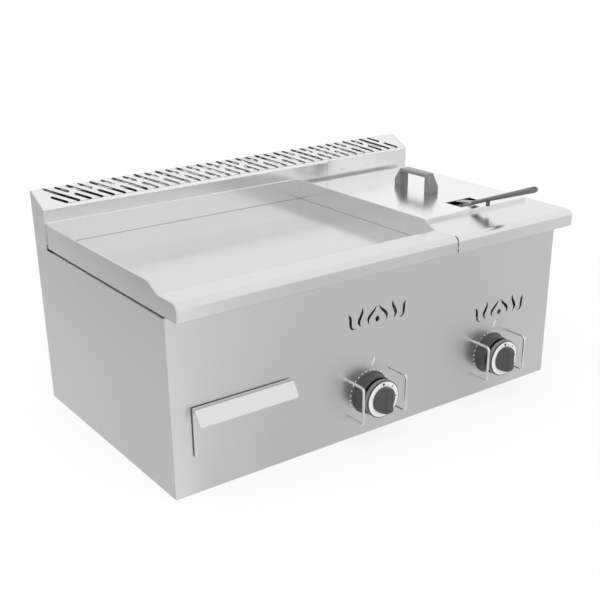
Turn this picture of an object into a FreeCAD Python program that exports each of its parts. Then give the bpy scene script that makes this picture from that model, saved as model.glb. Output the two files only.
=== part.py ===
"""Countertop gas griddle with a deep fryer beside it, as a parametric document.

Frame: +X to the right, +Y to the rear, +Z up, millimetres.
Origin: the centre of the cabinet's footprint, on the surface it stands on.
"""

import FreeCAD, Part
import math
import os
import re
import sys

import Sketcher
from FreeCAD import Placement, Rotation, Vector

DRIVING = [
    # cabinet
    ("width", 800, "cabinet, over the side panels"),
    ("depth", 456, "cabinet, front panel to rear panel"),
    ("side_height", 290, "top edge of the left side panel"),
    ("deck_height", 321, "worktop and front rim"),
    ("gauge", 1.5, "cabinet sheet"),
    ("flange", 12, "folded edge of a side panel"),
    ("bay_split", 127, "right face of the wall between the bays"),
    ("pan_flange", 18, "upturned edge of the base pan"),
    # nose along the front
    ("deck_gauge", 2, "rim and worktop sheet"),
    ("nose_reach", 33, "nose in front of the front panel"),
    ("nose_radius", 10, "outside radius of the nose"),
    ("lip", 28, "height of the nose"),
    ("lip_return", 14, "folded bottom edge of the nose"),
    ("rim_width", 53, "flat and nose of the front rim"),
    ("seam", 2.5, "gap in the nose between the two bays"),
    ("deck_side_reach", 6, "worktop past the right side panel"),
    # griddle
    ("plate_thickness", 12, "steel griddle plate"),
    ("plate_drop", 22.5, "plate surface below the rim"),
    ("plate_setback", 6, "plate edge behind the front panel"),
    ("wall_gauge", 3, "splash walls round the plate"),
    ("wall_rise", 13.5, "side walls above the deck"),
    ("wall_inset", 2, "left wall inside the cabinet's face"),
    ("wall_gap", 3, "left wall above the side panel"),
    ("wall_slope", 28, "length of the sloped front end of a wall"),
    ("rear_wall_rise", 15.5, "rear wall above the deck"),
    ("rail_leg", 25, "plate support angle"),
    ("rail_gauge", 2, "plate support angle"),
    ("drain_length", 40, "grease slot in the plate"),
    ("drain_width", 25, "grease slot in the plate"),
    ("drain_from_left", 120, "grease slot's middle from the cabinet's side"),
    ("chute_length", 136, "grease chute below the plate"),
    # flue
    ("flue_depth", 47, "flue hood, front to rear"),
    ("flue_front", 362, "front edge of the slanted top"),
    ("flue_rear", 385.5, "rear edge of the slanted top"),
    ("flue_skirt", 300, "lower edge of the hood's front sheet"),
    ("flue_front_radius", 7, "outside radius of the front edge"),
    ("flue_rear_radius", 2.5, "outside radius of the rear edge"),
    ("slot_pitch", 43.1, "long slot to long slot"),
    ("slot_run", 48, "sideways run of a long slot"),
    ("slot_width", 4.6, "flue slot"),
    ("slot_margin", 3.5, "slot end to the edge of the slanted top"),
    ("slot_bridge", 6, "metal between the two short slots of a pair"),
    ("slot_side", 20, "first slot from the cabinet's side"),
    ("cover_left", 195, "left edge of the flue's front cover"),
    ("cover_rise", 40, "flue cover above the worktop"),
    ("cover_bolt_left", 232.5, "dome bolt"),
    ("cover_bolt_right", 297, "dome bolt"),
    ("cover_bolt_rise", 19.5, "dome bolts above the worktop"),
    ("bolt_head", 5, "radius of a dome bolt's head"),
    # fryer
    ("tank_left", 150, "outside of the tank"),
    ("tank_width", 222, "outside of the tank"),
    ("tank_front", -115, "outside of the tank"),
    ("tank_length", 265, "outside of the tank"),
    ("tank_floor", 130, "underside of the tank"),
    ("tank_gauge", 1.2, "tank sheet"),
    ("tank_flange", 10, "tank's edge on the worktop"),
    ("tank_clearance", 2, "tank in the worktop's opening"),
    ("shield_gap", 8, "heat shield round the tank"),
    ("shield_floor", 45, "lower edge of the heat shield"),
    ("shield_top", 312, "upper edge of the heat shield"),
    # lid
    ("lid_left", 131, "outside of the lid"),
    ("lid_right", 391, "outside of the lid"),
    ("lid_front", -163, "outside of the lid"),
    ("lid_rear", 164, "outside of the lid"),
    ("lid_rise", 7, "lid above the worktop"),
    ("lid_gauge", 1.5, "lid sheet"),
    ("lid_radius", 2, "outside radius of the lid's edges"),
    ("window_width", 61, "window for the basket handle"),
    ("window_length", 42, "window for the basket handle"),
    ("window_front", -146.5, "front edge of the window"),
    ("lid_handle_length", 99, "bridge handle, along Y"),
    ("lid_handle_width", 21, "bridge handle, along X"),
    ("lid_handle_rise", 34, "bridge handle above the lid"),
    ("lid_handle_leg", 15, "thickness of a leg"),
    ("lid_handle_bar", 5.5, "thickness of the top bar"),
    ("lid_handle_shoulder", 22, "height of the sloped outer corner"),
    ("lid_handle_slope", 15, "length of the sloped outer corner"),
    ("lid_handle_middle", 7.5, "middle of the handle, along Y"),
    ("handle_line", 274.5, "line of the basket and lid handles, along X"),
    # basket
    ("basket_gap", 12, "basket wall to tank wall"),
    ("basket_top", 300, "middle of the rim wire"),
    ("basket_floor", 152, "underside of the basket"),
    ("rim_wire", 2.5, "radius of the rim wire"),
    ("mesh_gauge", 2, "basket mesh"),
    ("prong_wire", 2, "radius of the handle rods"),
    ("prong_spacing", 10, "handle rods, middle to middle"),
    ("prong_grip", 8, "length of a handle rod inside the grip"),
    ("grip_length", 144, "basket handle grip"),
    ("grip_tilt", 19.9, "degrees above level"),
    ("grip_start_width", 17, "oval grip, at its end by the lid"),
    ("grip_start_depth", 6.4, "oval grip, at its end by the lid"),
    ("grip_end_width", 20, "oval grip, at its outer end"),
    ("grip_end_depth", 11, "oval grip, at its outer end"),
    ("grip_front", -147.5, "grip's start, along Y"),
    ("grip_height", 332.5, "grip's start, along Z"),
    ("hook_width", 5, "hook under the grip"),
    ("hook_from_start", 33.5, "hook in front of the grip's start"),
    ("hook_drop", 12, "hook's foot below the middle of the grip"),
    # controls
    ("griddle_knob_x", -27, "griddle control, along X"),
    ("fryer_knob_x", 255, "fryer control, along X"),
    ("knob_height", 74, "both controls, along Z"),
    ("knob_radius", 33, "rim of a knob"),
    ("knob_rim", 10, "thickness of the rim"),
    ("knob_face", 36, "rim's face in front of the panel"),
    ("knob_hub", 26, "radius of the hub behind the rim"),
    ("knob_gap", 5.5, "hub to panel, room to push"),
    ("boss_radius", 22.5, "round boss inside the pale ring"),
    ("boss_rise", 3, "round boss in front of the face"),
    ("grip_bar_width", 14, "finger bar of a knob"),
    ("grip_bar_rise", 17.5, "finger bar in front of the face"),
    ("dial_radius", 31, "pale ring on the knob"),
    ("dial_gauge", 1.5, "pale ring on the knob"),
    ("bezel_radius", 32.5, "ring on the panel"),
    ("bezel_bore", 27.2, "ring on the panel"),
    ("bezel_rise", 9, "ring on the panel"),
    ("spindle_radius", 4, "valve spindle"),
    ("running_gap", 0.05, "radial clearance of a shaft in its bore"),
    ("push_travel", 4, "push of a knob"),
    ("plunger_radius", 2.5, "safety plunger behind the spindle"),
    ("plunger_length", 12, "safety plunger behind the spindle"),
    ("stem_hole", 9, "radius of the hole in the panel"),
    # guards
    ("guard_spread", 45, "guard to knob's axis"),
    ("guard_half", 32.5, "half the height of a guard"),
    ("guard_reach", 42, "guard in front of the panel"),
    ("guard_wire", 2.25, "radius of the guard wire"),
    ("guard_bend", 7, "bend of a guard"),
    ("guard_tail", 8, "threaded end behind the panel"),
    ("guard_hole_gap", 0.25, "wire in its panel hole"),
    ("nut_flats", 8, "across the flats of a guard nut"),
    ("nut_height", 3.5, "guard nut"),
    # vents
    ("griddle_vent_x", -13, "flame vents, middle"),
    ("griddle_vent_z", 211, "flame vents, middle"),
    ("fryer_vent_x", 272, "flame vents, middle"),
    ("fryer_vent_z", 158, "flame vents, middle"),
    ("vent_spread", 61, "half the width of a group of vents"),
    ("vent_half", 17, "half the height of a group of vents"),
    # drawer
    ("drawer_left", -360.5, "opening in the front panel"),
    ("drawer_width", 162, "opening in the front panel"),
    ("drawer_sill", 67.5, "opening in the front panel"),
    ("drawer_opening", 70.5, "height of the opening"),
    ("front_overlap", 5, "drawer front past the edge of its opening"),
    ("front_standoff", 2, "drawer front in front of the panel"),
    ("drawer_length", 222, "drawer tray"),
    ("drawer_gauge", 1.2, "drawer sheet"),
    ("pull_reach", 25, "drawer pull in front of the panel"),
    ("pull_drop", 24, "height of the drawer pull"),
    ("pull_shelf", 9, "flat top of the drawer pull"),
    ("pull_flange", 17, "drawer pull against the drawer front"),
    ("pull_bend", 7, "bend of the drawer pull"),
    ("runner_leg", 14, "ledge under the drawer"),
    # gas
    ("pipe_radius", 10.65, "gas manifold"),
    ("inlet_radius", 10.48, "threaded gas inlet"),
    ("inlet_reach", 34, "gas inlet behind the cabinet"),
    ("thread_length", 20, "thread on the gas inlet"),
    ("inlet_x", -102, "gas inlet, along X"),
    ("manifold_y", -150, "gas manifold, along Y"),
    ("elbow", 28, "block that joins the manifold and the inlet"),
    ("valve_radius", 13, "gas valve"),
    ("valve_front", -202, "front face of a gas valve"),
    ("tube_radius", 4, "supply tube"),
    ("tube_line", -182, "supply tube, along Y"),
    ("tube_bend", 12, "supply tube"),
    ("injector_radius", 6, "gas injector"),
    ("injector_length", 16, "gas injector"),
    ("burner_radius", 14, "burner's bars and mixer tube"),
    ("header_radius", 16, "cross tube of a burner, wider than the bars it feeds"),
    ("burner_gauge", 1.5, "burner tube"),
    ("griddle_burner_z", 238, "griddle burner's axis"),
    ("fryer_burner_z", 100, "fryer burner's axis"),
    ("header_y", -100, "cross tube of a burner"),
    ("burner_rear", 140, "rear end of a burner's bars"),
    ("mixer_front", -146, "open end of a burner's mixer tube"),
    ("cradle_gauge", 3, "bar under a burner"),
    ("cradle_height", 20, "bar under a burner"),
    ("cradle_front", -60, "front bar, along Y"),
    ("cradle_rear", 100, "rear bar, along Y"),
    ("deflector_z", 178, "heat deflector under the griddle burner"),
]

WORKED_OUT = [
    ("left", "=-Sizes.width / 2"),
    ("right", "=Sizes.width / 2"),
    ("front", "=-Sizes.depth / 2"),
    ("rear", "=Sizes.depth / 2"),
    ("nose_front", "=front - Sizes.nose_reach"),
    ("lip_bottom", "=Sizes.deck_height - Sizes.lip"),
    ("rim_rear", "=nose_front + Sizes.rim_width"),
    ("flue_face", "=rear - Sizes.flue_depth"),
    ("flue_slope", "=(Sizes.flue_rear - Sizes.flue_front) / Sizes.flue_depth"),
    ("flue_sheet_z", "=Sizes.gauge * sqrt(1 + flue_slope ^ 2)"),
    ("flue_inner_front", "=Sizes.flue_front + Sizes.gauge * flue_slope - flue_sheet_z"),
    ("flue_inner_rear", "=Sizes.flue_rear - Sizes.gauge * flue_slope - flue_sheet_z"),
    ("plate_top", "=Sizes.deck_height - Sizes.plate_drop"),
    ("plate_bottom", "=plate_top - Sizes.plate_thickness"),
    ("plate_left", "=left + Sizes.wall_inset + Sizes.wall_gauge"),
    ("plate_right", "=Sizes.bay_split - Sizes.wall_gauge"),
    ("plate_front", "=front + Sizes.plate_setback"),
    ("plate_rear", "=flue_face - Sizes.wall_gauge"),
    ("wall_top", "=Sizes.deck_height + Sizes.wall_rise"),
    ("wall_foot", "=Sizes.side_height + Sizes.wall_gap"),
    ("bulkhead_left", "=Sizes.bay_split - Sizes.gauge"),
    ("deck_right", "=right + Sizes.deck_side_reach"),
    ("drain_x", "=left + Sizes.drain_from_left"),
    ("drain_y", "=rim_rear + Sizes.deck_gauge + Sizes.drain_width / 2 + 6"),
    ("tank_right", "=Sizes.tank_left + Sizes.tank_width"),
    ("tank_rear", "=Sizes.tank_front + Sizes.tank_length"),
    ("lid_top", "=Sizes.deck_height + Sizes.lid_rise"),
    ("window_left", "=Sizes.handle_line - Sizes.window_width / 2"),
    ("basket_left", "=Sizes.tank_left + Sizes.basket_gap"),
    ("basket_right", "=tank_right - Sizes.basket_gap"),
    ("basket_front", "=Sizes.tank_front + Sizes.basket_gap"),
    ("basket_rear", "=tank_rear - Sizes.basket_gap"),
    ("knob_front", "=front - Sizes.knob_face"),
    ("knob_back", "=front - Sizes.knob_gap"),
    ("rim_back", "=knob_front + Sizes.knob_rim"),
    ("spindle_end", "=Sizes.valve_front + 12"),
    ("drawer_right", "=Sizes.drawer_left + Sizes.drawer_width"),
    ("drawer_head", "=Sizes.drawer_sill + Sizes.drawer_opening"),
    ("tray_left", "=Sizes.drawer_left + 4"),
    ("tray_right", "=drawer_right - 4"),
    ("tray_floor", "=Sizes.drawer_sill + 4"),
    ("tray_top", "=drawer_head - 5"),
    ("tray_front", "=front - Sizes.front_standoff"),
    ("tray_rear", "=front + Sizes.gauge + Sizes.drawer_length"),
    ("drawer_face", "=tray_front - Sizes.gauge"),
    ("drawer_face_left", "=Sizes.drawer_left - Sizes.front_overlap"),
    ("drawer_face_right", "=drawer_right + Sizes.front_overlap"),
    ("drawer_face_top", "=drawer_head + Sizes.front_overlap"),
    ("pull_top", "=drawer_face_top + Sizes.gauge"),
    ("pull_front", "=front - Sizes.pull_reach"),
    ("pull_foot", "=pull_top - Sizes.pull_drop"),
    ("chute_foot", "=plate_bottom - Sizes.chute_length"),
]

doc = FreeCAD.newDocument("griddle_and_fryer")
sub_parts = []


# ---------------------------------------------------------------- the sheets

def make_sheet(name, rows):
    """A sheet with one named value to a row."""
    sheet = doc.addObject("Spreadsheet::Sheet", name)
    for row, entry in enumerate(rows, start=1):
        sheet.set(f"A{row}", entry[0])
        sheet.set(f"B{row}", str(entry[1]))
        sheet.setAlias(f"B{row}", entry[0])
        if len(entry) > 2:
            sheet.set(f"C{row}", entry[2])
    return sheet


sizes = make_sheet("Sizes", DRIVING)
doc.recompute()
places = make_sheet("Places", WORKED_OUT)
doc.recompute()
SIZE_NAMES = {row[0] for row in DRIVING}
PLACE_NAMES = {row[0] for row in WORKED_OUT}


def named(word):
    """The value of one alias, from whichever sheet holds it."""
    sheet = sizes if word in SIZE_NAMES else places
    return float(getattr(sheet, word))


def number(text):
    """The value of a sum of named values, each of them maybe times or over a number."""
    total, term, sign, action = 0.0, None, 1.0, "*"
    for token in re.findall(r"[a-z_][a-z_0-9]*|[0-9.]+|[-+*/]", str(text)):
        if token in "+-":
            if term is not None:
                total += sign * term
            sign, term, action = (1.0 if token == "+" else -1.0), None, "*"
        elif token in "*/":
            action = token
        else:
            amount = float(token) if token[0] in "0123456789." else named(token)
            if term is None:
                term = amount
            else:
                term = term * amount if action == "*" else term / amount
    return total + sign * term


def bound(text):
    """The same sum as an expression on the sheets."""
    def with_sheet(match):
        word = match.group(0)
        if word in SIZE_NAMES:
            return "Sizes." + word
        return "Places." + word if word in PLACE_NAMES else word
    return re.sub(r"[a-z_][a-z_0-9]*", with_sheet, str(text))


def bind(item, prop, text):
    item.setExpression(prop, bound(text))


# ---------------------------------------------------------------- the building blocks

def keep(item):
    """Marks an object as a finished sub-part."""
    sub_parts.append(item)
    return item


def box(label, x, y, z):
    """A box between two named places along each axis."""
    item = doc.addObject("Part::Box", label)
    for prop, axis, (low, high) in (("Length", "x", x), ("Width", "y", y), ("Height", "z", z)):
        bind(item, prop, f"({high}) - ({low})")
        bind(item, "Placement.Base." + axis, low)
    return item


TURNS = {
    "x": Rotation(Vector(0, 1, 0), 90),
    "y": Rotation(Vector(1, 0, 0), -90),
    "z": Rotation(),
}


def rod(label, axis, start, end, centre, radius):
    """A cylinder along an axis; centre holds its place on the two other axes."""
    item = doc.addObject("Part::Cylinder", label)
    item.Placement = Placement(Vector(), TURNS[axis])
    bind(item, "Radius", radius)
    bind(item, "Height", f"({end}) - ({start})")
    spot = list(centre)
    spot.insert("xyz".index(axis), start)
    for name, text in zip("xyz", spot):
        bind(item, "Placement.Base." + name, text)
    return item


def fuse(label, *items):
    item = doc.addObject("Part::MultiFuse", label)
    item.Shapes = list(items)
    item.Refine = True
    return item


def cut(label, base, *tools):
    """The base less its tools."""
    item = doc.addObject("Part::Cut", label)
    item.Base = base
    item.Tool = tools[0] if len(tools) == 1 else fuse(label + "_tools", *tools)
    item.Refine = True
    return item


def common(label, base, tool):
    """What two solids share."""
    item = doc.addObject("Part::Common", label)
    item.Base, item.Tool = base, tool
    return item


def group(label, *items):
    """Several separate solids in one node."""
    item = doc.addObject("Part::Compound", label)
    item.Links = list(items)
    return item


def hollow(label, x, y, z, wall, floor="0", open_top=True):
    """A box-shaped tray or sleeve, open at the top, and at the bottom where it has no floor."""
    outer = box(label + "_outside", x, y, z)
    low = f"{z[0]} + {floor}" if floor != "0" else f"{z[0]} - 1"
    inner = box(
        label + "_inside",
        (f"{x[0]} + {wall}", f"{x[1]} - {wall}"),
        (f"{y[0]} + {wall}", f"{y[1]} - {wall}"),
        (low, f"{z[1]} + 1" if open_top else f"{z[1]} - {wall}"),
    )
    return cut(label, outer, inner)


PLANES = {"x": "YZ_Plane", "y": "XZ_Plane", "z": "XY_Plane"}


def pad(label, axis, start, end, outline):
    """A body whose one pad runs along an axis from start to end.

    The outline's points are (Y, Z) for axis x, (X, Z) for y and (X, Y) for z.
    """
    body = doc.addObject("PartDesign::Body", label)
    sketch = body.newObject("Sketcher::SketchObject", label + "_outline")
    plane = [f for f in body.Origin.OriginFeatures if f.Role == PLANES[axis]][0]
    sketch.AttachmentSupport = (plane, [""])
    sketch.MapMode = "FlatFace"
    # the XZ plane faces the front, so a pad on it starts at its rear end
    bind(sketch, "AttachmentOffset.Base.z", f"-({end})" if axis == "y" else start)
    spots = [Vector(number(a), number(b), 0) for a, b in outline]
    count = len(spots)
    for i in range(count):
        sketch.addGeometry(Part.LineSegment(spots[i], spots[(i + 1) % count]))
    for i in range(count):
        sketch.addConstraint(Sketcher.Constraint("Coincident", i, 2, (i + 1) % count, 1))
    for i, (a, b) in enumerate(outline):
        for kind, text, value in (("DistanceX", a, spots[i].x), ("DistanceY", b, spots[i].y)):
            index = sketch.addConstraint(Sketcher.Constraint(kind, i, 1, value))
            sketch.setExpression(f"Constraints[{index}]", bound(text))
    feature = body.newObject("PartDesign::Pad", label + "_pad")
    feature.Profile = sketch
    bind(feature, "Length", f"({end}) - ({start})")
    body.Tip = feature
    return body


def edges_at(shape, spots):
    """The names of the edges that pass through the given spots."""
    found = []
    for i, edge in enumerate(shape.Edges, start=1):
        if any(edge.distToShape(Part.Vertex(s))[0] < 0.01 for s in spots):
            found.append(f"Edge{i}")
    if len(found) < len(spots):
        sys.exit(f"only {len(found)} of {len(spots)} edges found")
    return found


def round_edges(body, radius, *spots, kind="Fillet", prop="Radius"):
    """A fillet, or a chamfer, on the body's edges through the given named spots."""
    doc.recompute()
    where = [Vector(number(a), number(b), number(c)) for a, b, c in spots]
    base = body.Tip
    feature = body.newObject("PartDesign::" + kind, f"{body.Name}_{kind.lower()}")
    feature.Base = (base, edges_at(base.Shape, where))
    bind(feature, prop, radius)
    body.Tip = feature
    return body


def solid(label, shape, place=Placement()):
    """A shape of its own making, set down at its place."""
    item = doc.addObject("Part::Feature", label)
    item.Shape = shape
    item.Placement = place
    return item


def bent_path(points, bend):
    """A wire of straight runs joined by tangent arcs."""
    edges, last = [], points[0]
    for before, corner, after in zip(points, points[1:], points[2:]):
        into = (before - corner).normalize()
        out = (after - corner).normalize()
        half = into.getAngle(out) / 2
        back = bend / math.tan(half)
        first, second = corner + into * back, corner + out * back
        middle = corner + (into + out).normalize() * (bend / math.sin(half) - bend)
        edges.append(Part.LineSegment(last, first).toShape())
        edges.append(Part.Arc(first, middle, second).toShape())
        last = second
    edges.append(Part.LineSegment(last, points[-1]).toShape())
    return Part.Wire(edges)


def wire_rod(points, radius, bend):
    """A round rod along a bent path."""
    spots = [Vector(number(x), number(y), number(z)) for x, y, z in points]
    path = bent_path(spots, number(bend))
    ring = Part.Circle(spots[0], spots[1] - spots[0], number(radius)).toShape()
    return path.makePipeShell([Part.Wire(ring)], True, True)


# ---------------------------------------------------------------- cabinet

def side_panel(label, side):
    """A side panel with a folded edge at the front and the rear."""
    outer, inward = ("left", "+") if side == "left" else ("right", "-")
    web_x = [outer, f"{outer} {inward} gauge"]
    fold_x = [f"{outer} {inward} gauge", f"{outer} {inward} gauge {inward} flange"]
    web_x.sort(key=number)
    fold_x.sort(key=number)
    height = "side_height" if side == "left" else "deck_height - deck_gauge"
    web = pad(label + "_web", "x", *web_x, [
        ("front + gauge", "0"),
        ("rear", "0"),
        ("rear", "side_height"),
        ("flue_face", "side_height"),
        ("flue_face", height),
        ("front + gauge", height),
    ] if side == "right" else [
        ("front + gauge", "0"),
        ("rear", "0"),
        ("rear", height),
        ("front + gauge", height),
    ])
    z = ("0", "plate_bottom - rail_gauge")
    front_fold = box(label + "_front_fold", fold_x, ("front + gauge", "front + gauge * 2"), z)
    rear_fold = box(label + "_rear_fold", fold_x, ("rear - gauge * 2", "rear - gauge"), z)
    return keep(fuse(label, web, front_fold, rear_fold))


def base_pan():
    """The bottom tray, with rows of air slots."""
    x = ("left + gauge", "right - gauge")
    y = ("front + gauge * 2", "rear - gauge * 2")
    tray = hollow("base_tray", x, y, ("0", "pan_flange"), "gauge", "gauge")
    slots = []
    for row, start in enumerate(("left + 240", "bay_split + 50")):
        for i in range(5):
            x = (f"{start} + {i * 34}", f"{start} + {i * 34 + 14}")
            slots.append(box(f"air_slot_{row}_{i}", x, ("-60", "100"), ("-1", "gauge + 1")))
    return keep(cut("base_pan", tray, *slots))


# Flames of one half of a group, from the outermost inwards, then the drop in the middle: the top,
# the side away from the middle, the foot, and the side towards the middle, across and up, in
# shares of the group's half width and half height.
FLAMES = [
    [(0.99, 0.59), [(0.965, -0.18), (0.94, -0.70)], (0.72, -1.0), [(0.86, -0.74), (0.875, -0.1)]],
    [(0.54, 1.0), [(0.585, 0.4), (0.675, -0.2)], (0.54, -0.94), [(0.59, -0.42), (0.50, 0.38)]],
    [(0.05, 0.85), [(0.18, 0.4), (0.345, -0.2)], (0.285, -0.90), [(0.27, -0.34), (0.09, 0.4)]],
]
DROP = [(-0.01, -0.22), [(0.068, -0.5)], (-0.025, -0.86), [(-0.075, -0.45)]]


def flame(middle, outline, side):
    """The outline of one flame: two curves that meet in points at its top and foot."""
    def spot(share):
        across, up = share
        return middle + Vector(side * across * number("vent_spread"), 0,
                               up * number("vent_half"))

    top, away, foot, inward = outline
    curves = []
    for spots in ([top, *away, foot], [foot, *inward, top]):
        curve = Part.BSplineCurve()
        curve.interpolate([spot(share) for share in spots])
        curves.append(curve.toShape())
    return Part.Wire(curves)


def flame_cutters(label, middle_x, middle_z):
    """The cutters of one group of flame-shaped vents: three each side of a drop."""
    middle = Vector(number(middle_x), number("front - gauge"), number(middle_z))
    outlines = [flame(middle, outline, side) for side in (-1, 1) for outline in FLAMES]
    outlines.append(flame(middle, DROP, 1))
    through = Vector(0, number("gauge * 3"), 0)
    cutters = [Part.Face(outline).extrude(through) for outline in outlines]
    return solid(label, Part.makeCompound(cutters))


def guard_spots():
    """The X and Z names of each place where a guard wire goes through the front panel."""
    spots = []
    for knob in ("griddle", "fryer"):
        for side in ("-", "+"):
            for end in ("-", "+"):
                spots.append((
                    f"{knob}_knob_x {side} guard_spread", f"knob_height {end} guard_half"
                ))
    return spots


def front_panel():
    y = ("front", "front + gauge")
    through = ("front - 1", "front + gauge + 1")
    sheet = box("front_sheet", ("left", "right"), y, ("0", "lip_bottom - 1"))
    cutters = [
        box("drawer_cutter", ("drawer_left", "drawer_right"), through,
            ("drawer_sill", "drawer_head")),
        flame_cutters("griddle_flames", "griddle_vent_x", "griddle_vent_z"),
        flame_cutters("fryer_flames", "fryer_vent_x", "fryer_vent_z"),
    ]
    for knob in ("griddle", "fryer"):
        cutters.append(rod(
            knob + "_stem_cutter", "y", *through, (f"{knob}_knob_x", "knob_height"), "stem_hole"
        ))
    for i, spot in enumerate(guard_spots()):
        cutters.append(rod(
            f"guard_cutter_{i}", "y", *through, spot, "guard_wire + guard_hole_gap"
        ))
    return keep(cut("front_panel", sheet, *cutters))


def rear_panel():
    """The rear panel, with air slots and the hole for the gas inlet."""
    sheet = box("rear_sheet", ("left + gauge", "right - gauge"), ("rear - gauge", "rear"),
                ("0", "side_height"))
    through = ("rear - gauge - 1", "rear + 1")
    cutters = [rod("inlet_cutter", "y", *through, ("inlet_x", "knob_height"), "inlet_radius + 2")]
    for column, start in enumerate(("left + 130", "bay_split + 60")):
        for i in range(6):
            z = (f"130 + {i * 20}", f"136 + {i * 20}")
            cutters.append(box(
                f"rear_slot_{column}_{i}", (start, f"{start} + 150"), through, z
            ))
    return keep(cut("rear_panel", sheet, *cutters))


def rear_panel_screws():
    """Pan-head screws that hold the rear panel to the side panels' folded edges."""
    screws = []
    for i, x in enumerate(("left + gauge + flange / 2", "right - gauge - flange / 2")):
        for j, z in enumerate(("30", "150", "270")):
            screws.append(rod(f"rear_screw_{i}_{j}", "y", "rear", "rear + 2.5", (x, z), "4"))
    return keep(group("rear_panel_screws", *screws))


def centre_bulkhead():
    """The sheet between the bays, notched for the gas manifold."""
    sheet = box("bulkhead_sheet", ("bulkhead_left", "bay_split"),
                ("front + gauge * 3", "rear - gauge * 3"), ("gauge", "plate_bottom"))
    notch = box("bulkhead_notch", ("bulkhead_left - 1", "bay_split + 1"),
                ("manifold_y - pipe_radius - 8", "manifold_y + pipe_radius + 8"),
                ("knob_height - pipe_radius - 8", "knob_height + pipe_radius + 8"))
    return keep(cut("centre_bulkhead", sheet, notch))


# ---------------------------------------------------------------- flue

def slot_face(start, end, width):
    """A slot with round ends, flat on the XY plane."""
    along = (end - start).normalize()
    across = Vector(-along.y, along.x, 0) * (width / 2)
    a, b, c, d = start + across, end + across, end - across, start - across
    return Part.Face(Part.Wire([
        Part.LineSegment(a, b).toShape(),
        Part.Arc(b, end + along * (width / 2), c).toShape(),
        Part.LineSegment(c, d).toShape(),
        Part.Arc(d, start - along * (width / 2), a).toShape(),
    ]))


def flue_slot_cutters():
    """Slanting slots along the flue's top: long ones, and broken ones between them."""
    rise = number("flue_rear - flue_front")
    slope = math.hypot(number("flue_depth"), rise)
    low, high = -slope + number("slot_margin * 2"), -number("slot_margin")
    run, width = number("slot_run"), number("slot_width")
    half_gap = number("slot_bridge / 2 + slot_width / 2")
    pitch, first = number("slot_pitch"), number("left + slot_side")
    limit = number("right - slot_side")
    middle = (low + high) / 2
    faces = []

    def add(start_x, from_y, to_y):
        """One slot of the slanting line that starts at start_x by the rear edge."""
        ends = []
        for y in (from_y, to_y):
            ends.append(Vector(start_x + run * (high - y) / (high - low), y, 0))
        if ends[1].x <= limit:
            faces.append(slot_face(*ends, width))

    add(first - pitch / 2, middle - half_gap, low)
    place = first
    while place < limit:
        add(place, high, low)
        add(place + pitch / 2, high, middle + half_gap)
        add(place + pitch / 2, middle - half_gap, low)
        place += pitch
    depth = number("gauge * 4")
    bars = [f.extrude(Vector(0, 0, depth)) for f in faces]
    turn = Rotation(Vector(1, 0, 0), math.degrees(math.atan2(rise, number("flue_depth"))))
    top_edge = Vector(0, number("rear"), number("flue_rear"))
    place = Placement(top_edge + turn.multVec(Vector(0, 0, -depth / 2)), turn)
    return solid("flue_slot_cutters", Part.makeCompound(bars), place)


def flue_hood():
    """The folded hood over the flue: front sheet, slanted slotted top and rear sheet."""
    body = pad("hood_sheet", "x", "left + gauge", "right - gauge", [
        ("flue_face", "flue_skirt"),
        ("flue_face", "flue_front"),
        ("rear", "flue_rear"),
        ("rear", "side_height"),
        ("rear - gauge", "side_height"),
        ("rear - gauge", "flue_inner_rear"),
        ("flue_face + gauge", "flue_inner_front"),
        ("flue_face + gauge", "flue_skirt"),
    ])
    round_edges(body, "flue_front_radius - gauge",
                ("0", "flue_face + gauge", "flue_inner_front"))
    round_edges(body, "flue_rear_radius - gauge", ("0", "rear - gauge", "flue_inner_rear"))
    round_edges(body, "flue_front_radius", ("0", "flue_face", "flue_front"))
    round_edges(body, "flue_rear_radius", ("0", "rear", "flue_rear"))
    return keep(cut("flue_hood", body, flue_slot_cutters()))


def flue_end_cap(label, x):
    body = pad(label, "x", *x, [
        ("flue_face", "side_height"),
        ("flue_face", "flue_front"),
        ("rear", "flue_rear"),
        ("rear", "side_height"),
    ])
    round_edges(body, "flue_front_radius", (x[0] + " + gauge / 2", "flue_face", "flue_front"))
    round_edges(body, "flue_rear_radius", (x[0] + " + gauge / 2", "rear", "flue_rear"))
    return keep(body)


def flue_front_cover():
    """The flat cover on the fryer's side of the flue."""
    return keep(box("flue_front_cover", ("cover_left", "right - gauge"),
                    ("flue_face - gauge", "flue_face"),
                    ("deck_height", "deck_height + cover_rise")))


def flue_cover_screws():
    """Dome-head bolts on the flue's front cover."""
    bolts = []
    for i, x in enumerate(("cover_bolt_left", "cover_bolt_right")):
        head = number("bolt_head")
        centre = Vector(number(x), number("flue_face - gauge"), number(
            "deck_height + cover_bolt_rise"))
        ball = Part.makeSphere(head * 1.25, centre + Vector(0, head * 0.75, 0))
        front = Part.makeBox(4 * head, 2 * head, 4 * head, centre - Vector(
            2 * head, 2 * head, 2 * head))
        bolts.append(solid(f"dome_bolt_{i}", ball.common(front)))
    return keep(group("flue_cover_screws", *bolts))


# ---------------------------------------------------------------- griddle

def griddle_plate():
    """The cooking plate, with the grease slot hidden behind the front rim."""
    plate = box("plate_blank", ("plate_left", "plate_right"), ("plate_front", "plate_rear"),
                ("plate_bottom", "plate_top"))
    slot = box("drain_cutter", ("drain_x - drain_length / 2", "drain_x + drain_length / 2"),
               ("drain_y - drain_width / 2", "drain_y + drain_width / 2"),
               ("plate_bottom - 1", "plate_top + 1"))
    return keep(cut("griddle_plate", plate, slot))


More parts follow.
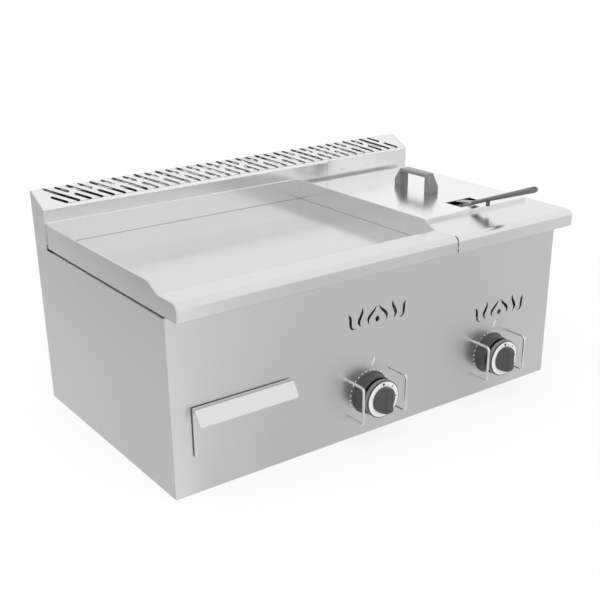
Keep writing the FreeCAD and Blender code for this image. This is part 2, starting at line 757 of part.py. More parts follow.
def griddle_left_wall():
    """The left splash wall, whose front end closes the end of the nose."""
    x = ("left + wall_inset", "plate_left")
    middle = "left + wall_inset + wall_gauge / 2"
    body = pad("griddle_left_wall", "x", *x, [
        ("flue_face", "wall_foot"),
        ("flue_face", "wall_top"),
        ("rim_rear + wall_slope", "wall_top"),
        ("rim_rear", "deck_height"),
        ("nose_front", "deck_height"),
        ("nose_front", "lip_bottom"),
        ("front", "wall_foot"),
    ])
    round_edges(body, "nose_radius", (middle, "nose_front", "deck_height"),
                (middle, "rim_rear + wall_slope", "wall_top"), (middle, "rim_rear", "deck_height"))
    return keep(body)


def griddle_divider_wall():
    """The splash wall between the plate and the fryer's worktop."""
    body = pad("griddle_divider_wall", "x", "plate_right", "bay_split", [
        ("rim_rear + deck_gauge", "plate_bottom"),
        ("flue_face", "plate_bottom"),
        ("flue_face", "wall_top"),
        ("rim_rear + wall_slope", "wall_top"),
        ("rim_rear + deck_gauge", "deck_height"),
    ])
    round_edges(body, "nose_radius", (
        "plate_right + wall_gauge / 2", "rim_rear + wall_slope", "wall_top"))
    return keep(body)


def griddle_rear_wall():
    return keep(box("griddle_rear_wall", ("plate_left", "plate_right"),
                    ("plate_rear", "flue_face"),
                    ("plate_bottom", "deck_height + rear_wall_rise")))


NOSE_BEND = ("nose_front", "deck_height")


def griddle_front_rim():
    """The folded front rim: rear leg on the plate, flat top, round nose, lip and return."""
    body = pad("griddle_front_rim", "x", "plate_left", "bay_split", [
        ("rim_rear", "plate_top"),
        ("rim_rear + deck_gauge", "plate_top"),
        ("rim_rear + deck_gauge", "deck_height"),
        ("nose_front", "deck_height"),
        ("nose_front", "lip_bottom"),
        ("nose_front + lip_return", "lip_bottom"),
        ("nose_front + lip_return", "lip_bottom + deck_gauge"),
        ("nose_front + deck_gauge", "lip_bottom + deck_gauge"),
        ("nose_front + deck_gauge", "deck_height - deck_gauge"),
        ("rim_rear", "deck_height - deck_gauge"),
    ])
    inner = ("0", "nose_front + deck_gauge", "deck_height - deck_gauge")
    round_edges(body, "nose_radius", ("0", *NOSE_BEND))
    round_edges(body, "nose_radius - deck_gauge", inner)
    round_edges(body, "deck_gauge * 0.75", ("0", "rim_rear + deck_gauge", "deck_height"),
                ("0", "nose_front", "lip_bottom"))
    return keep(body)


def plate_support_rails():
    """Two angles under the plate's edges: one on the side panel and one on the bulkhead."""
    y = ("plate_front + 12", "plate_rear - 4")
    top = "plate_bottom"
    web = ("plate_bottom - rail_leg", "plate_bottom - rail_gauge")
    rails = []
    for side, seat, way in (("left", "left + gauge", 1), ("right", "bulkhead_left", -1)):
        leg_x = (seat, f"{seat} + rail_leg") if way > 0 else (f"{seat} - rail_leg", seat)
        web_x = (seat, f"{seat} + rail_gauge") if way > 0 else (f"{seat} - rail_gauge", seat)
        leg = box(side + "_rail_leg", leg_x, y, ("plate_bottom - rail_gauge", top))
        rails.append(fuse(side + "_rail", leg, box(side + "_rail_web", web_x, y, web)))
    return keep(group("plate_support_rails", *rails))


def grease_chute():
    """The sleeve that leads grease from the plate's slot to the drawer."""
    x = ("drain_x - drain_length / 2 - gauge", "drain_x + drain_length / 2 + gauge")
    y = ("drain_y - drain_width / 2 - gauge", "drain_y + drain_width / 2 + gauge")
    return keep(hollow("grease_chute", x, y, ("chute_foot", "plate_bottom"), "gauge"))


def griddle_heat_deflector():
    """The sheet under the griddle burner, between the side panel and the bulkhead."""
    return keep(box("griddle_heat_deflector", ("left + gauge", "bulkhead_left"),
                    ("header_y - 40", "burner_rear + 30"), ("deflector_z", "deflector_z + gauge")))


# ---------------------------------------------------------------- burners and gas

BURNERS = {
    "griddle": ("griddle_burner_z", "griddle_knob_x",
                ["left + 100", "left + 262", "bay_split - 100"]),
    "fryer": ("fryer_burner_z", "fryer_knob_x",
              ["tank_left + 30", "tank_left + tank_width / 2", "tank_right - 30"]),
}


def burner_tubes(kind, suffix, inset):
    """The bars, cross tube and mixer tube of a burner, as one set of rods."""
    z, mixer_x, bars = BURNERS[kind]
    radius = f"burner_radius - {inset}"
    ends = (f"{bars[0]} - header_radius + {inset}", f"{bars[-1]} + header_radius - {inset}")
    rods = [rod(f"{kind}_{suffix}_header", "x", *ends, ("header_y", z), f"header_radius - {inset}")]
    for i, x in enumerate(bars):
        rods.append(rod(
            f"{kind}_{suffix}_bar_{i}", "y", "header_y", f"burner_rear - {inset}", (x, z), radius
        ))
    front = "mixer_front" if inset == "0" else "mixer_front - 1"
    rods.append(rod(f"{kind}_{suffix}_mixer", "y", front, "header_y", (mixer_x, z), radius))
    return fuse(f"{kind}_{suffix}", *rods)


def burner(kind):
    """A hollow burner: bars with flame slots along the top, fed by a cross tube."""
    z, _, bars = BURNERS[kind]
    outside = burner_tubes(kind, "burner_outside", "0")
    inside = burner_tubes(kind, "burner_inside", "burner_gauge")
    slots = []
    for i, x in enumerate(bars):
        for j in range(9):
            y = f"header_y + {24 + 24 * j}"
            slots.append(box(f"{kind}_flame_slot_{i}_{j}", (f"{x} - 7", f"{x} + 7"),
                             (y, f"{y} + 2"), (f"{z} + burner_radius / 2", f"{z} + burner_radius")))
    return keep(cut(kind + "_burner", outside, inside, *slots))


def burner_cradle(kind, x):
    """Two bars across the bay, each with a saddle under every burner bar."""
    z, _, bars = BURNERS[kind]
    blades = []
    for i, y in enumerate(("cradle_front", "cradle_rear")):
        span = (y, f"{y} + cradle_gauge")
        low = f"{z} - burner_radius - cradle_height + 6"
        blade = box(f"{kind}_blade_{i}", x, span, (low, f"{z} - burner_radius + 6"))
        saddles = [
            rod(f"{kind}_saddle_{i}_{j}", "y", f"{y} - 1", f"{y} + cradle_gauge + 1", (bar, z),
                "burner_radius") for j, bar in enumerate(bars)
        ]
        blades.append(cut(f"{kind}_cradle_{i}", blade, *saddles))
    return keep(group(kind + "_burner_cradle", *blades))


def pilots():
    """A pilot burner and a thermocouple for each burner, on its front cradle bar."""
    pilot_list, couples = [], []
    for kind in ("griddle", "fryer"):
        z, mixer_x, _ = BURNERS[kind]
        foot = f"{z} - burner_radius + 6"
        y = ("cradle_front - 4", "cradle_front + cradle_gauge + 4")
        pilot_list.append(box(kind + "_pilot", (f"{mixer_x} - 34", f"{mixer_x} - 22"), y,
                              (foot, f"{foot} + 16")))
        couples.append(rod(kind + "_couple", "z", foot, f"{foot} + 24",
                           (f"{mixer_x} - 42", "cradle_front + cradle_gauge / 2"), "2.5"))
    keep(group("pilot_burners", *pilot_list))
    keep(group("thermocouples", *couples))


def gas_supply():
    """The manifold, its threaded inlet at the rear, the supply tubes and the injectors."""
    half = "elbow / 2"
    keep(rod("gas_manifold", "x", f"inlet_x + {half}", "fryer_knob_x + 30",
             ("manifold_y", "knob_height"), "pipe_radius"))
    block = box("elbow_block", (f"inlet_x - {half}", f"inlet_x + {half}"),
                (f"manifold_y - {half}", f"manifold_y + {half}"),
                (f"knob_height - {half}", f"knob_height + {half}"))
    pipe = rod("inlet_pipe", "y", f"manifold_y + {half} - 1", "rear + inlet_reach - thread_length",
               ("inlet_x", "knob_height"), "pipe_radius")
    thread = rod("inlet_thread", "y", f"manifold_y + {half}", "rear + inlet_reach",
                 ("inlet_x", "knob_height"), "inlet_radius")
    bore = rod("inlet_bore", "y", "manifold_y", "rear + inlet_reach + 1",
               ("inlet_x", "knob_height"), "inlet_radius - 2.6")
    keep(cut("gas_inlet_pipe", fuse("inlet_body", block, pipe, thread), bore))
    tubes, injectors = [], []
    for kind in ("griddle", "fryer"):
        z, x, _ = BURNERS[kind]
        end = "mixer_front - 6 - injector_length"
        tubes.append(solid(kind + "_tube", wire_rod([
            (x, "tube_line", "knob_height + valve_radius"),
            (x, "tube_line", z),
            (x, end, z),
        ], "tube_radius", "tube_bend")))
        injectors.append(rod(kind + "_injector", "y", end, f"{end} + injector_length", (x, z),
                             "injector_radius"))
    keep(group("gas_supply_tubes", *tubes))
    keep(group("gas_injectors", *injectors))


def manifold_brackets():
    """Two uprights from the base pan, each with a saddle under the manifold."""
    saddle = rod("bracket_saddle", "x", "inlet_x + elbow", "fryer_knob_x",
                 ("manifold_y", "knob_height"), "pipe_radius")
    uprights = []
    for i, x in enumerate(("griddle_knob_x - 33", "fryer_knob_x - 55")):
        blade = box(f"upright_{i}", (x, f"{x} + cradle_gauge"),
                    ("manifold_y - elbow / 2", "manifold_y + elbow / 2"), ("gauge", "knob_height"))
        uprights.append(cut(f"manifold_bracket_{i}", blade, saddle))
    return keep(group("manifold_brackets", *uprights))


def gas_valve(kind):
    """A gas valve on the manifold, bored for its spindle and its safety plunger."""
    x = f"{kind}_knob_x"
    centre = (x, "knob_height")
    barrel = rod(kind + "_valve_barrel", "y", "valve_front", "manifold_y", centre, "valve_radius")
    boss = rod(kind + "_valve_boss", "z", "knob_height", "knob_height + valve_radius",
               (x, "tube_line"), "tube_radius + 3")
    saddle = rod(kind + "_valve_saddle", "x", f"{x} - 30", f"{x} + 30",
                 ("manifold_y", "knob_height"), "pipe_radius")
    shoulder = "spindle_end + push_travel + 1"
    spindle_bore = rod(kind + "_spindle_bore", "y", "valve_front - 1", shoulder, centre,
                       "spindle_radius + running_gap")
    plunger_bore = rod(kind + "_plunger_bore", "y", "valve_front",
                       "spindle_end + plunger_length + push_travel + 1", centre,
                       "plunger_radius + running_gap")
    return keep(cut(kind + "_gas_valve", fuse(kind + "_valve_body", barrel, boss), saddle,
                    spindle_bore, plunger_bore))


# ---------------------------------------------------------------- controls

def knob_set(kind):
    """Knob, pale dial, spindle and safety plunger of one control."""
    x = f"{kind}_knob_x"
    centre = (x, "knob_height")
    rim = rod(kind + "_knob_rim", "y", "knob_front", "rim_back", centre, "knob_radius")
    hub = rod(kind + "_knob_hub", "y", "rim_back - 1", "knob_back", centre, "knob_hub")
    boss = rod(kind + "_knob_boss", "y", "knob_front - boss_rise", "knob_front + 3", centre,
               "boss_radius")
    bar_y = ("knob_front - grip_bar_rise", "knob_front + 1")
    bar = common(
        kind + "_knob_bar", rod(kind + "_bar_round", "y", *bar_y, centre, "boss_radius"),
        box(kind + "_bar_slab", (f"{x} - grip_bar_width / 2", f"{x} + grip_bar_width / 2"), bar_y,
            ("knob_height - boss_radius", "knob_height + boss_radius")))
    body = fuse(kind + "_knob_body", rim, hub, boss, bar)
    recess = rod(kind + "_dial_seat", "y", "knob_front - 1", "knob_front + dial_gauge", centre,
                 "dial_radius")
    boss_keep = rod(kind + "_boss_keep", "y", "knob_front - 2", "knob_front + dial_gauge + 1",
                    centre, "boss_radius")
    seat = cut(kind + "_dial_recess", recess, boss_keep)
    bore = rod(kind + "_knob_bore", "y", "knob_front - 4", "knob_back + 1", centre,
               "spindle_radius")
    keep(cut(kind + "_knob", body, seat, bore))
    disc = rod(kind + "_dial_disc", "y", "knob_front", "knob_front + dial_gauge", centre,
               "dial_radius")
    hole = rod(kind + "_dial_hole", "y", "knob_front - 1", "knob_front + dial_gauge + 1", centre,
               "boss_radius")
    keep(cut(kind + "_dial", disc, hole))
    keep(rod(kind + "_spindle", "y", "knob_front - 4", "spindle_end", centre, "spindle_radius"))
    keep(rod(kind + "_valve_plunger", "y", "spindle_end", "spindle_end + plunger_length", centre,
             "plunger_radius"))


def knob_bezels():
    """The fixed rings that the knobs' hubs slide into."""
    rings = []
    for kind in ("griddle", "fryer"):
        centre = (f"{kind}_knob_x", "knob_height")
        y = ("front - bezel_rise", "front")
        outer = rod(kind + "_bezel_outside", "y", *y, centre, "bezel_radius")
        inner = rod(kind + "_bezel_inside", "y", "front - bezel_rise - 1", "front + 1", centre,
                    "bezel_bore")
        rings.append(cut(kind + "_bezel", outer, inner))
    return keep(group("knob_bezels", *rings))


def knob_guards(kind):
    """Two bent wires that stand out on each side of a knob."""
    wires = []
    inside = "front + gauge + guard_tail"
    tip = "front - guard_reach + guard_wire"
    for i, side in enumerate(("-", "+")):
        x = f"{kind}_knob_x {side} guard_spread"
        wires.append(solid(f"{kind}_guard_{i}", wire_rod([
            (x, inside, "knob_height + guard_half"),
            (x, tip, "knob_height + guard_half"),
            (x, tip, "knob_height - guard_half"),
            (x, inside, "knob_height - guard_half"),
        ], "guard_wire", "guard_bend")))
    return keep(group(kind + "_knob_guards", *wires))


def guard_nuts():
    """A hexagon nut on each guard end, tight against the back of the front panel."""
    nuts = []
    for i, (x, z) in enumerate(guard_spots()):
        prism = doc.addObject("Part::Prism", f"nut_blank_{i}")
        prism.Polygon = 6
        prism.Placement = Placement(Vector(), TURNS["y"])
        bind(prism, "Circumradius", "nut_flats / 1.7321")
        bind(prism, "Height", "nut_height")
        for axis, text in zip("xyz", (x, "front + gauge", z)):
            bind(prism, "Placement.Base." + axis, text)
        bore = rod(f"nut_bore_{i}", "y", "front", "front + gauge + nut_height + 1", (x, z),
                   "guard_wire")
        nuts.append(cut(f"guard_nut_{i}", prism, bore))
    return keep(group("guard_nuts", *nuts))


# ---------------------------------------------------------------- grease drawer

def drawer():
    """The drawer's tray, front and folded pull, and the two runners it slides on."""
    x = ("tray_left", "tray_right")
    keep(hollow("drawer_tray", x, ("tray_front", "tray_rear"), ("tray_floor", "tray_top"),
                "drawer_gauge", "drawer_gauge"))
    keep(box("drawer_front", ("drawer_face_left", "drawer_face_right"),
             ("drawer_face", "tray_front"), ("drawer_sill - front_overlap", "drawer_face_top")))
    pull = pad("drawer_pull", "x", "drawer_face_left", "drawer_face_right + 5", [
        ("tray_front", "pull_top"),
        ("front - pull_shelf", "pull_top"),
        ("pull_front", "pull_foot"),
        ("pull_front + gauge", "pull_foot - gauge / 2"),
        ("front - pull_shelf + gauge / 2", "pull_top - gauge"),
        ("drawer_face - gauge", "pull_top - gauge"),
        ("drawer_face - gauge", "pull_top - pull_flange"),
        ("drawer_face", "pull_top - pull_flange"),
        ("drawer_face", "drawer_face_top"),
        ("tray_front", "drawer_face_top"),
    ])
    middle = "drawer_left + drawer_width / 2"
    round_edges(pull, "pull_bend", (middle, "front - pull_shelf", "pull_top"))
    keep(pull)
    runners = []
    y = ("front + gauge * 3", "tray_rear + 10")
    for side, seat, way in (("left", "tray_left", -1), ("right", "tray_right", 1)):
        if way < 0:
            web_x = (f"{seat} - 0.5 - gauge", f"{seat} - 0.5")
            ledge_x = (f"{seat} - 0.5 - gauge", f"{seat} - 0.5 + runner_leg")
        else:
            web_x = (f"{seat} + 0.5", f"{seat} + 0.5 + gauge")
            ledge_x = (f"{seat} + 0.5 - runner_leg", f"{seat} + 0.5 + gauge")
        web = box(side + "_runner_web", web_x, y, ("gauge", "tray_floor + 20"))
        ledge = box(side + "_runner_ledge", ledge_x, y, ("tray_floor - gauge", "tray_floor"))
        runners.append(fuse(side + "_runner", web, ledge))
    keep(group("drawer_runners", *runners))


# ---------------------------------------------------------------- fryer

def fryer_worktop():
    """The worktop round the tank: round nose in front, lip on the right."""
    nose = pad("worktop_nose", "x", "bay_split + seam", "deck_right", [
        ("flue_face", "deck_height"),
        ("nose_front", "deck_height"),
        ("nose_front", "lip_bottom"),
        ("nose_front + lip_return", "lip_bottom"),
        ("nose_front + lip_return", "lip_bottom + deck_gauge"),
        ("nose_front + deck_gauge", "lip_bottom + deck_gauge"),
        ("nose_front + deck_gauge", "deck_height - deck_gauge"),
        ("flue_face", "deck_height - deck_gauge"),
    ])
    middle = "bay_split + 100"
    round_edges(nose, "nose_radius", (middle, *NOSE_BEND))
    round_edges(nose, "nose_radius - deck_gauge",
                (middle, "nose_front + deck_gauge", "deck_height - deck_gauge"))
    flat_z = ("deck_height - deck_gauge", "deck_height")
    strip = box("worktop_strip", ("bay_split", "bay_split + seam + 1"),
                ("nose_front + nose_radius", "flue_face"), flat_z)
    lip = pad("worktop_lip", "x", "deck_right - deck_gauge", "deck_right", [
        ("flue_face", "deck_height"),
        ("nose_front", "deck_height"),
        ("nose_front", "lip_bottom"),
        ("flue_face", "lip_bottom"),
    ])
    round_edges(lip, "nose_radius", ("deck_right - deck_gauge / 2", *NOSE_BEND))
    opening = box("tank_opening",
                  ("tank_left - tank_clearance", "tank_right + tank_clearance"),
                  ("tank_front - tank_clearance", "tank_rear + tank_clearance"),
                  ("deck_height - 10", "deck_height + 1"))
    return keep(cut("fryer_worktop", fuse("worktop_sheet", nose, strip, lip), opening))


def fryer_tank():
    """The oil tank, hung in the worktop by its flange."""
    wall = box("tank_walls", ("tank_left", "tank_right"), ("tank_front", "tank_rear"),
               ("tank_floor", "deck_height + tank_gauge"))
    edge = box("tank_edge", ("tank_left - tank_flange", "tank_right + tank_flange"),
               ("tank_front - tank_flange", "tank_rear + tank_flange"),
               ("deck_height", "deck_height + tank_gauge"))
    room = box("tank_room", ("tank_left + tank_gauge", "tank_right - tank_gauge"),
               ("tank_front + tank_gauge", "tank_rear - tank_gauge"),
               ("tank_floor + tank_gauge", "deck_height + 10"))
    return keep(cut("fryer_tank", fuse("tank_body", wall, edge), room))


def fryer_heat_shield():
    """A sleeve of sheet round the tank and its burner, standing on the base pan by four feet."""
    x = ("tank_left - shield_gap", "tank_right + shield_gap")
    y = ("tank_front - shield_gap", "tank_rear + shield_gap")
    sleeve = hollow("shield_sleeve", x, y, ("gauge", "shield_top"), "tank_gauge")
    gaps = [
        box("shield_side_gap", (x[0] + " - 1", x[1] + " + 1"), (y[0] + " + 30", y[1] + " - 30"),
            ("0", "fryer_burner_z + burner_radius + 4")),
        box("shield_end_gap", (x[0] + " + 30", x[1] + " - 30"), (y[0] + " - 1", y[1] + " + 1"),
            ("0", "fryer_burner_z + burner_radius + 4")),
    ]
    return keep(cut("fryer_heat_shield", sleeve, *gaps))


def basket_rest():
    """The raised grid on the tank's floor that carries the basket."""
    z = ("tank_floor + tank_gauge", "basket_floor")
    bars = []
    for i in range(3):
        x = f"basket_left + {18 + 81 * i}"
        bars.append(box(f"rest_long_{i}", (x, f"{x} + 3"), ("tank_front + 20", "tank_rear - 20"),
                        z))
    for i in range(2):
        y = f"tank_front + {60 + 150 * i}"
        bars.append(box(f"rest_cross_{i}", ("basket_left + 18", "basket_left + 183"),
                        (y, f"{y} + 3"), ("basket_floor - 8", "basket_floor")))
    return keep(fuse("basket_rest", *bars))


def fryer_lid():
    """The shallow lid with its window for the basket handle."""
    shell = pad("lid_shell", "z", "deck_height", "lid_top", [
        ("lid_left", "lid_front"),
        ("lid_right", "lid_front"),
        ("lid_right", "lid_rear"),
        ("lid_left", "lid_rear"),
    ])
    round_edges(shell, "lid_radius", ("handle_line", "lid_front", "lid_top"),
                ("handle_line", "lid_rear", "lid_top"), ("lid_left", "0", "lid_top"),
                ("lid_right", "0", "lid_top"))
    room = box("lid_room", ("lid_left + lid_gauge", "lid_right - lid_gauge"),
               ("lid_front + lid_gauge", "lid_rear - lid_gauge"),
               ("deck_height - 1", "lid_top - lid_gauge"))
    window = box("lid_window", ("window_left", "window_left + window_width"),
                 ("window_front", "window_front + window_length"),
                 ("deck_height", "lid_top + 1"))
    holes = [
        rod(f"lid_screw_hole_{i}", "z", "deck_height", "lid_top + 1",
            ("handle_line", lid_screw_line(i)), "2.6") for i in range(2)
    ]
    return keep(cut("fryer_lid", shell, room, window, *holes))


def lid_screw_line(i):
    """The Y of a handle screw: the middle of a leg."""
    way = "-" if i == 0 else "+"
    back = "+" if i == 0 else "-"
    return f"lid_handle_middle {way} lid_handle_length / 2 {back} lid_handle_leg / 2"


def lid_handle():
    """The bridge handle, with sloped corners."""
    x = ("handle_line - lid_handle_width / 2", "handle_line + lid_handle_width / 2")
    low = "lid_handle_middle - lid_handle_length / 2"
    high = "lid_handle_middle + lid_handle_length / 2"
    top = "lid_top + lid_handle_rise"
    bridge = pad("lid_handle_bridge", "x", *x, [
        (low, "lid_top"),
        (f"{low} + lid_handle_leg", "lid_top"),
        (f"{low} + lid_handle_leg", f"{top} - lid_handle_bar"),
        (f"{high} - lid_handle_leg", f"{top} - lid_handle_bar"),
        (f"{high} - lid_handle_leg", "lid_top"),
        (high, "lid_top"),
        (high, f"{top} - lid_handle_shoulder"),
        (f"{high} - lid_handle_slope", top),
        (f"{low} + lid_handle_slope", top),
        (low, f"{top} - lid_handle_shoulder"),
    ])
    holes = [
        rod(f"handle_screw_hole_{i}", "z", "lid_top - 1", "lid_top + 12",
            ("handle_line", lid_screw_line(i)), "2.5") for i in range(2)
    ]
    keep(cut("lid_handle", bridge, *holes))
    screws = []
    for i in range(2):
        spot = ("handle_line", lid_screw_line(i))
        head = rod(f"lid_screw_head_{i}", "z", "lid_top - lid_gauge - 2", "lid_top - lid_gauge",
                   spot, "4.5")
        shank = rod(f"lid_screw_shank_{i}", "z", "lid_top - lid_gauge - 1", "lid_top + 11", spot,
                    "2.5")
        screws.append(fuse(f"lid_screw_{i}", head, shank))
    keep(group("lid_handle_screws", *screws))


def basket():
    """The basket: rim wire, mesh panels, handle rods and tapered grip."""
    corners = [
        ("basket_left", "basket_front"), ("basket_right", "basket_front"),
        ("basket_right", "basket_rear"), ("basket_left", "basket_rear"),
    ]
    # the ring starts in the middle of its front side, so that its ends meet on a straight run
    route = [("handle_line", "basket_front", "basket_top")]
    route += [(x, y, "basket_top") for x, y in corners[1:] + corners[:1]]
    route.append(("handle_line - 0.01", "basket_front", "basket_top"))
    keep(solid("basket_frame", wire_rod(route, "rim_wire", "10")))
    x = ("basket_left - mesh_gauge / 2", "basket_right + mesh_gauge / 2")
    y = ("basket_front - mesh_gauge / 2", "basket_rear + mesh_gauge / 2")
    z = ("basket_floor", "basket_top - rim_wire")
    wall_z = ("basket_floor + mesh_gauge", z[1])
    inner_y = (f"{y[0]} + mesh_gauge", f"{y[1]} - mesh_gauge")
    keep(group(
        "basket_mesh",
        box("mesh_floor", x, y, (z[0], wall_z[0])),
        box("mesh_front", x, (y[0], inner_y[0]), wall_z),
        box("mesh_rear", x, (inner_y[1], y[1]), wall_z),
        box("mesh_left", (x[0], f"{x[0]} + mesh_gauge"), inner_y, wall_z),
        box("mesh_right", (f"{x[1]} - mesh_gauge", x[1]), inner_y, wall_z),
    ))
    prongs = []
    line = "basket_front - rim_wire - prong_wire"
    inside = f"grip_front - {number('prong_grip') * math.cos(grip_angle())}"
    inside_z = f"grip_height + {number('prong_grip') * math.sin(grip_angle())}"
    for i, side in enumerate(("-", "+")):
        x = f"handle_line {side} prong_spacing / 2"
        prongs.append(solid(f"prong_{i}", wire_rod([
            (x, line, "basket_top - 14"),
            (x, line, "lid_top - 1"),
            (x, "grip_front + 2", "grip_height - 0.5"),
            (x, inside, inside_z),
        ], "prong_wire", "6")))
    keep(group("basket_handle_rods", *prongs))
    keep(basket_grip(prongs))


def grip_angle():
    return math.radians(number("grip_tilt"))


def basket_grip(prongs):
    """The oval grip, leaning up towards the cook, with a hook under it and sockets for the rods."""
    along = Vector(0, -math.cos(grip_angle()), math.sin(grip_angle()))
    start = Vector(number("handle_line"), number("grip_front"), number("grip_height"))
    end = start + along * number("grip_length")
    ovals = []
    for spot, width, depth in ((start, "grip_start_width", "grip_start_depth"),
                               (end, "grip_end_width", "grip_end_depth")):
        oval = Part.Ellipse(Vector(), number(width) / 2, number(depth) / 2).toShape()
        oval.Placement = Placement(spot, Rotation(Vector(1, 0, 0), Vector(), along, "ZXY"))
        ovals.append(Part.Wire(oval))
    body = Part.makeLoft(ovals, True, True)
    width = number("hook_width")
    middle = start + Vector(0, -number("hook_from_start"), 0)
    middle.z += number("hook_from_start") * math.tan(grip_angle())
    hook = Part.makeBox(width, width, number("hook_drop"), Vector(
        start.x - width / 2, middle.y - width / 2, middle.z - number("hook_drop")))
    handle = body.fuse(hook).removeSplitter()
    return solid("basket_handle_grip", handle.cut([prong.Shape for prong in prongs]))


# ---------------------------------------------------------------- build and write

side_panel("left_side_panel", "left")
side_panel("right_side_panel", "right")
base_pan()
front_panel()
rear_panel()
rear_panel_screws()
centre_bulkhead()
flue_hood()
flue_end_cap("flue_end_cap_left", ("left", "left + gauge"))
flue_end_cap("flue_end_cap_right", ("right - gauge", "right"))
flue_front_cover()
flue_cover_screws()
griddle_plate()
griddle_left_wall()
griddle_divider_wall()
griddle_rear_wall()
griddle_front_rim()
plate_support_rails()
grease_chute()
griddle_heat_deflector()
burner("griddle")
burner("fryer")
burner_cradle("griddle", ("left + gauge", "bulkhead_left"))
burner_cradle("fryer", ("bay_split", "right - gauge"))
pilots()
gas_supply()
manifold_brackets()
for kind in ("griddle", "fryer"):
    gas_valve(kind)
    knob_set(kind)
    knob_guards(kind)
knob_bezels()
guard_nuts()
drawer()
fryer_worktop()
fryer_tank()
fryer_heat_shield()
basket_rest()
fryer_lid()
lid_handle()
basket()
doc.recompute()


def problems():
    """Objects that failed to build, and sub-parts with a bad shape."""
    found = []
    for item in doc.Objects:
        if "Invalid" in item.State or "Error" in item.State:
            found.append(f"{item.Label}: {item.State}")
    for item in sub_parts:
        shape = item.Shape
        if shape.isNull() or not shape.isValid() or not shape.Solids:
            found.append(f"{item.Label}: bad shape")
    return found


faults = problems()
if faults:
    sys.exit("\n".join(faults))
os.makedirs("parts", exist_ok=True)
for item in sub_parts:
    item.Shape.exportStep(f"parts/{item.Label}.step")
print(f"{len(sub_parts)} sub-parts written")
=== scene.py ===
"""Looks of a countertop gas griddle and fryer, built around its CAD frame.

Everything is in metres, in the frame's own axes: +X right, +Y rear, +Z up.
"""

import math

import bpy
from mathutils import Matrix, Vector


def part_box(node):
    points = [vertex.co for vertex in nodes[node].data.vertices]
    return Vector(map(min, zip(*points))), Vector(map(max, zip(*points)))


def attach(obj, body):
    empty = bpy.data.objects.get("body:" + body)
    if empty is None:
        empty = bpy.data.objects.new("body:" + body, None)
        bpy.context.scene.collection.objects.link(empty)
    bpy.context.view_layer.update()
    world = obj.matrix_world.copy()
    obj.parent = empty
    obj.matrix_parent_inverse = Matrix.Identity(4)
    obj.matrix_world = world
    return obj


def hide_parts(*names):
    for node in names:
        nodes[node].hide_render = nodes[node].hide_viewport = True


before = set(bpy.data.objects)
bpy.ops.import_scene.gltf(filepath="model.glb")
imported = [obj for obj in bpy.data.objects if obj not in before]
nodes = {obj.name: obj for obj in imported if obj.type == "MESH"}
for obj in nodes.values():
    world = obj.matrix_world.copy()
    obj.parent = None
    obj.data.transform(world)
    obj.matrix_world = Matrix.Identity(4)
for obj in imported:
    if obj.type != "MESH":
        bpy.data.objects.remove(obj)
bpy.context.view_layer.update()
scene = bpy.context.scene
bpy.ops.object.select_all(action="DESELECT")

MM = 0.001


# ------------------------------------------------------------------ camera and studio

CAMERA_PLACE = Vector((-1.0009, -1.3929, 0.7906))
CAMERA_FORWARD = Vector((0.5331, 0.7465, -0.3981)).normalized()
CAMERA_RIGHT = Vector((0.8112, -0.5847, -0.0100))
LENS_MM = 60.18
SENSOR_MM = 36.0
CAMERA_SHIFT_UP = 0.1


def add_camera():
    """The camera stands in front of the left corner and looks slightly down."""
    right = (CAMERA_RIGHT - CAMERA_FORWARD * CAMERA_RIGHT.dot(CAMERA_FORWARD)).normalized()
    up = right.cross(CAMERA_FORWARD)
    lens = bpy.data.cameras.new("camera")
    lens.lens = LENS_MM
    lens.sensor_width = SENSOR_MM
    lens.shift_y = CAMERA_SHIFT_UP
    camera = bpy.data.objects.new("camera", lens)
    turn = Matrix((right, up, -CAMERA_FORWARD)).transposed().to_4x4()
    camera.matrix_world = Matrix.Translation(CAMERA_PLACE) @ turn
    scene.collection.objects.link(camera)
    scene.camera = camera


def helpers_for(tree):
    """The two helpers that fill a node tree: one makes a node, the other links two sockets."""

    def node(kind, **values):
        made = tree.nodes.new(kind)
        for name, value in values.items():
            if hasattr(made, name):
                setattr(made, name, value)
            else:
                made.inputs[name.replace("_", " ")].default_value = value
        return made

    def link(start, end):
        tree.links.new(start, end)

    return node, link


def new_tree(owner):
    """An emptied node tree, as the two helpers that fill it."""
    owner.use_nodes = True
    owner.node_tree.nodes.clear()
    return helpers_for(owner.node_tree)


def seen_directly(node, link):
    """One for camera, glossy and transmission rays, and zero for the rest."""
    path = node("ShaderNodeLightPath")
    first = node("ShaderNodeMath", operation="MAXIMUM")
    second = node("ShaderNodeMath", operation="MAXIMUM")
    link(path.outputs["Is Camera Ray"], first.inputs[0])
    link(path.outputs["Is Glossy Ray"], first.inputs[1])
    link(first.outputs[0], second.inputs[0])
    link(path.outputs["Is Transmission Ray"], second.inputs[1])
    return second.outputs[0]


WORLD_LIGHT = 0.95
FLOOR_SIZE = 14.0
FLOOR_COLOUR = 0.86
FLOOR_WHITE_NEAR = 0.8
FLOOR_FADE = (0.55, 1.1)

# Soft lamps: name, place, side and watts.
LAMP_TARGET = (0, 0, 0.2)
LAMPS = [("overhead_box", (-0.6, -0.9, 2.4), 2.4, 22), ("left_box", (-2.6, -0.6, 1.2), 1.6, 10)]

# Bands on the cards: place across them from 0 to 1, and brightness. The front's run from its
# left edge to its right edge, and the side's and the wall's from front to rear.
FRONT_BANDS = [(0.0, 1.0), (0.09, 0.78), (0.28, 0.69), (0.5, 0.74), (0.75, 0.68), (0.95, 0.8)]
SIDE_BANDS = [(0.0, 0.69), (1.0, 0.76)]
WALL_BANDS = [(0.0, 0.46), (1.0, 0.62)]
CARD_DEPTH = 3.0
FRONT_CARD_ENDS = (-1.2, 4.2)
LEFT_CARD_ENDS = (-0.9, 6.0)
WALL_CARD_START = 0.37


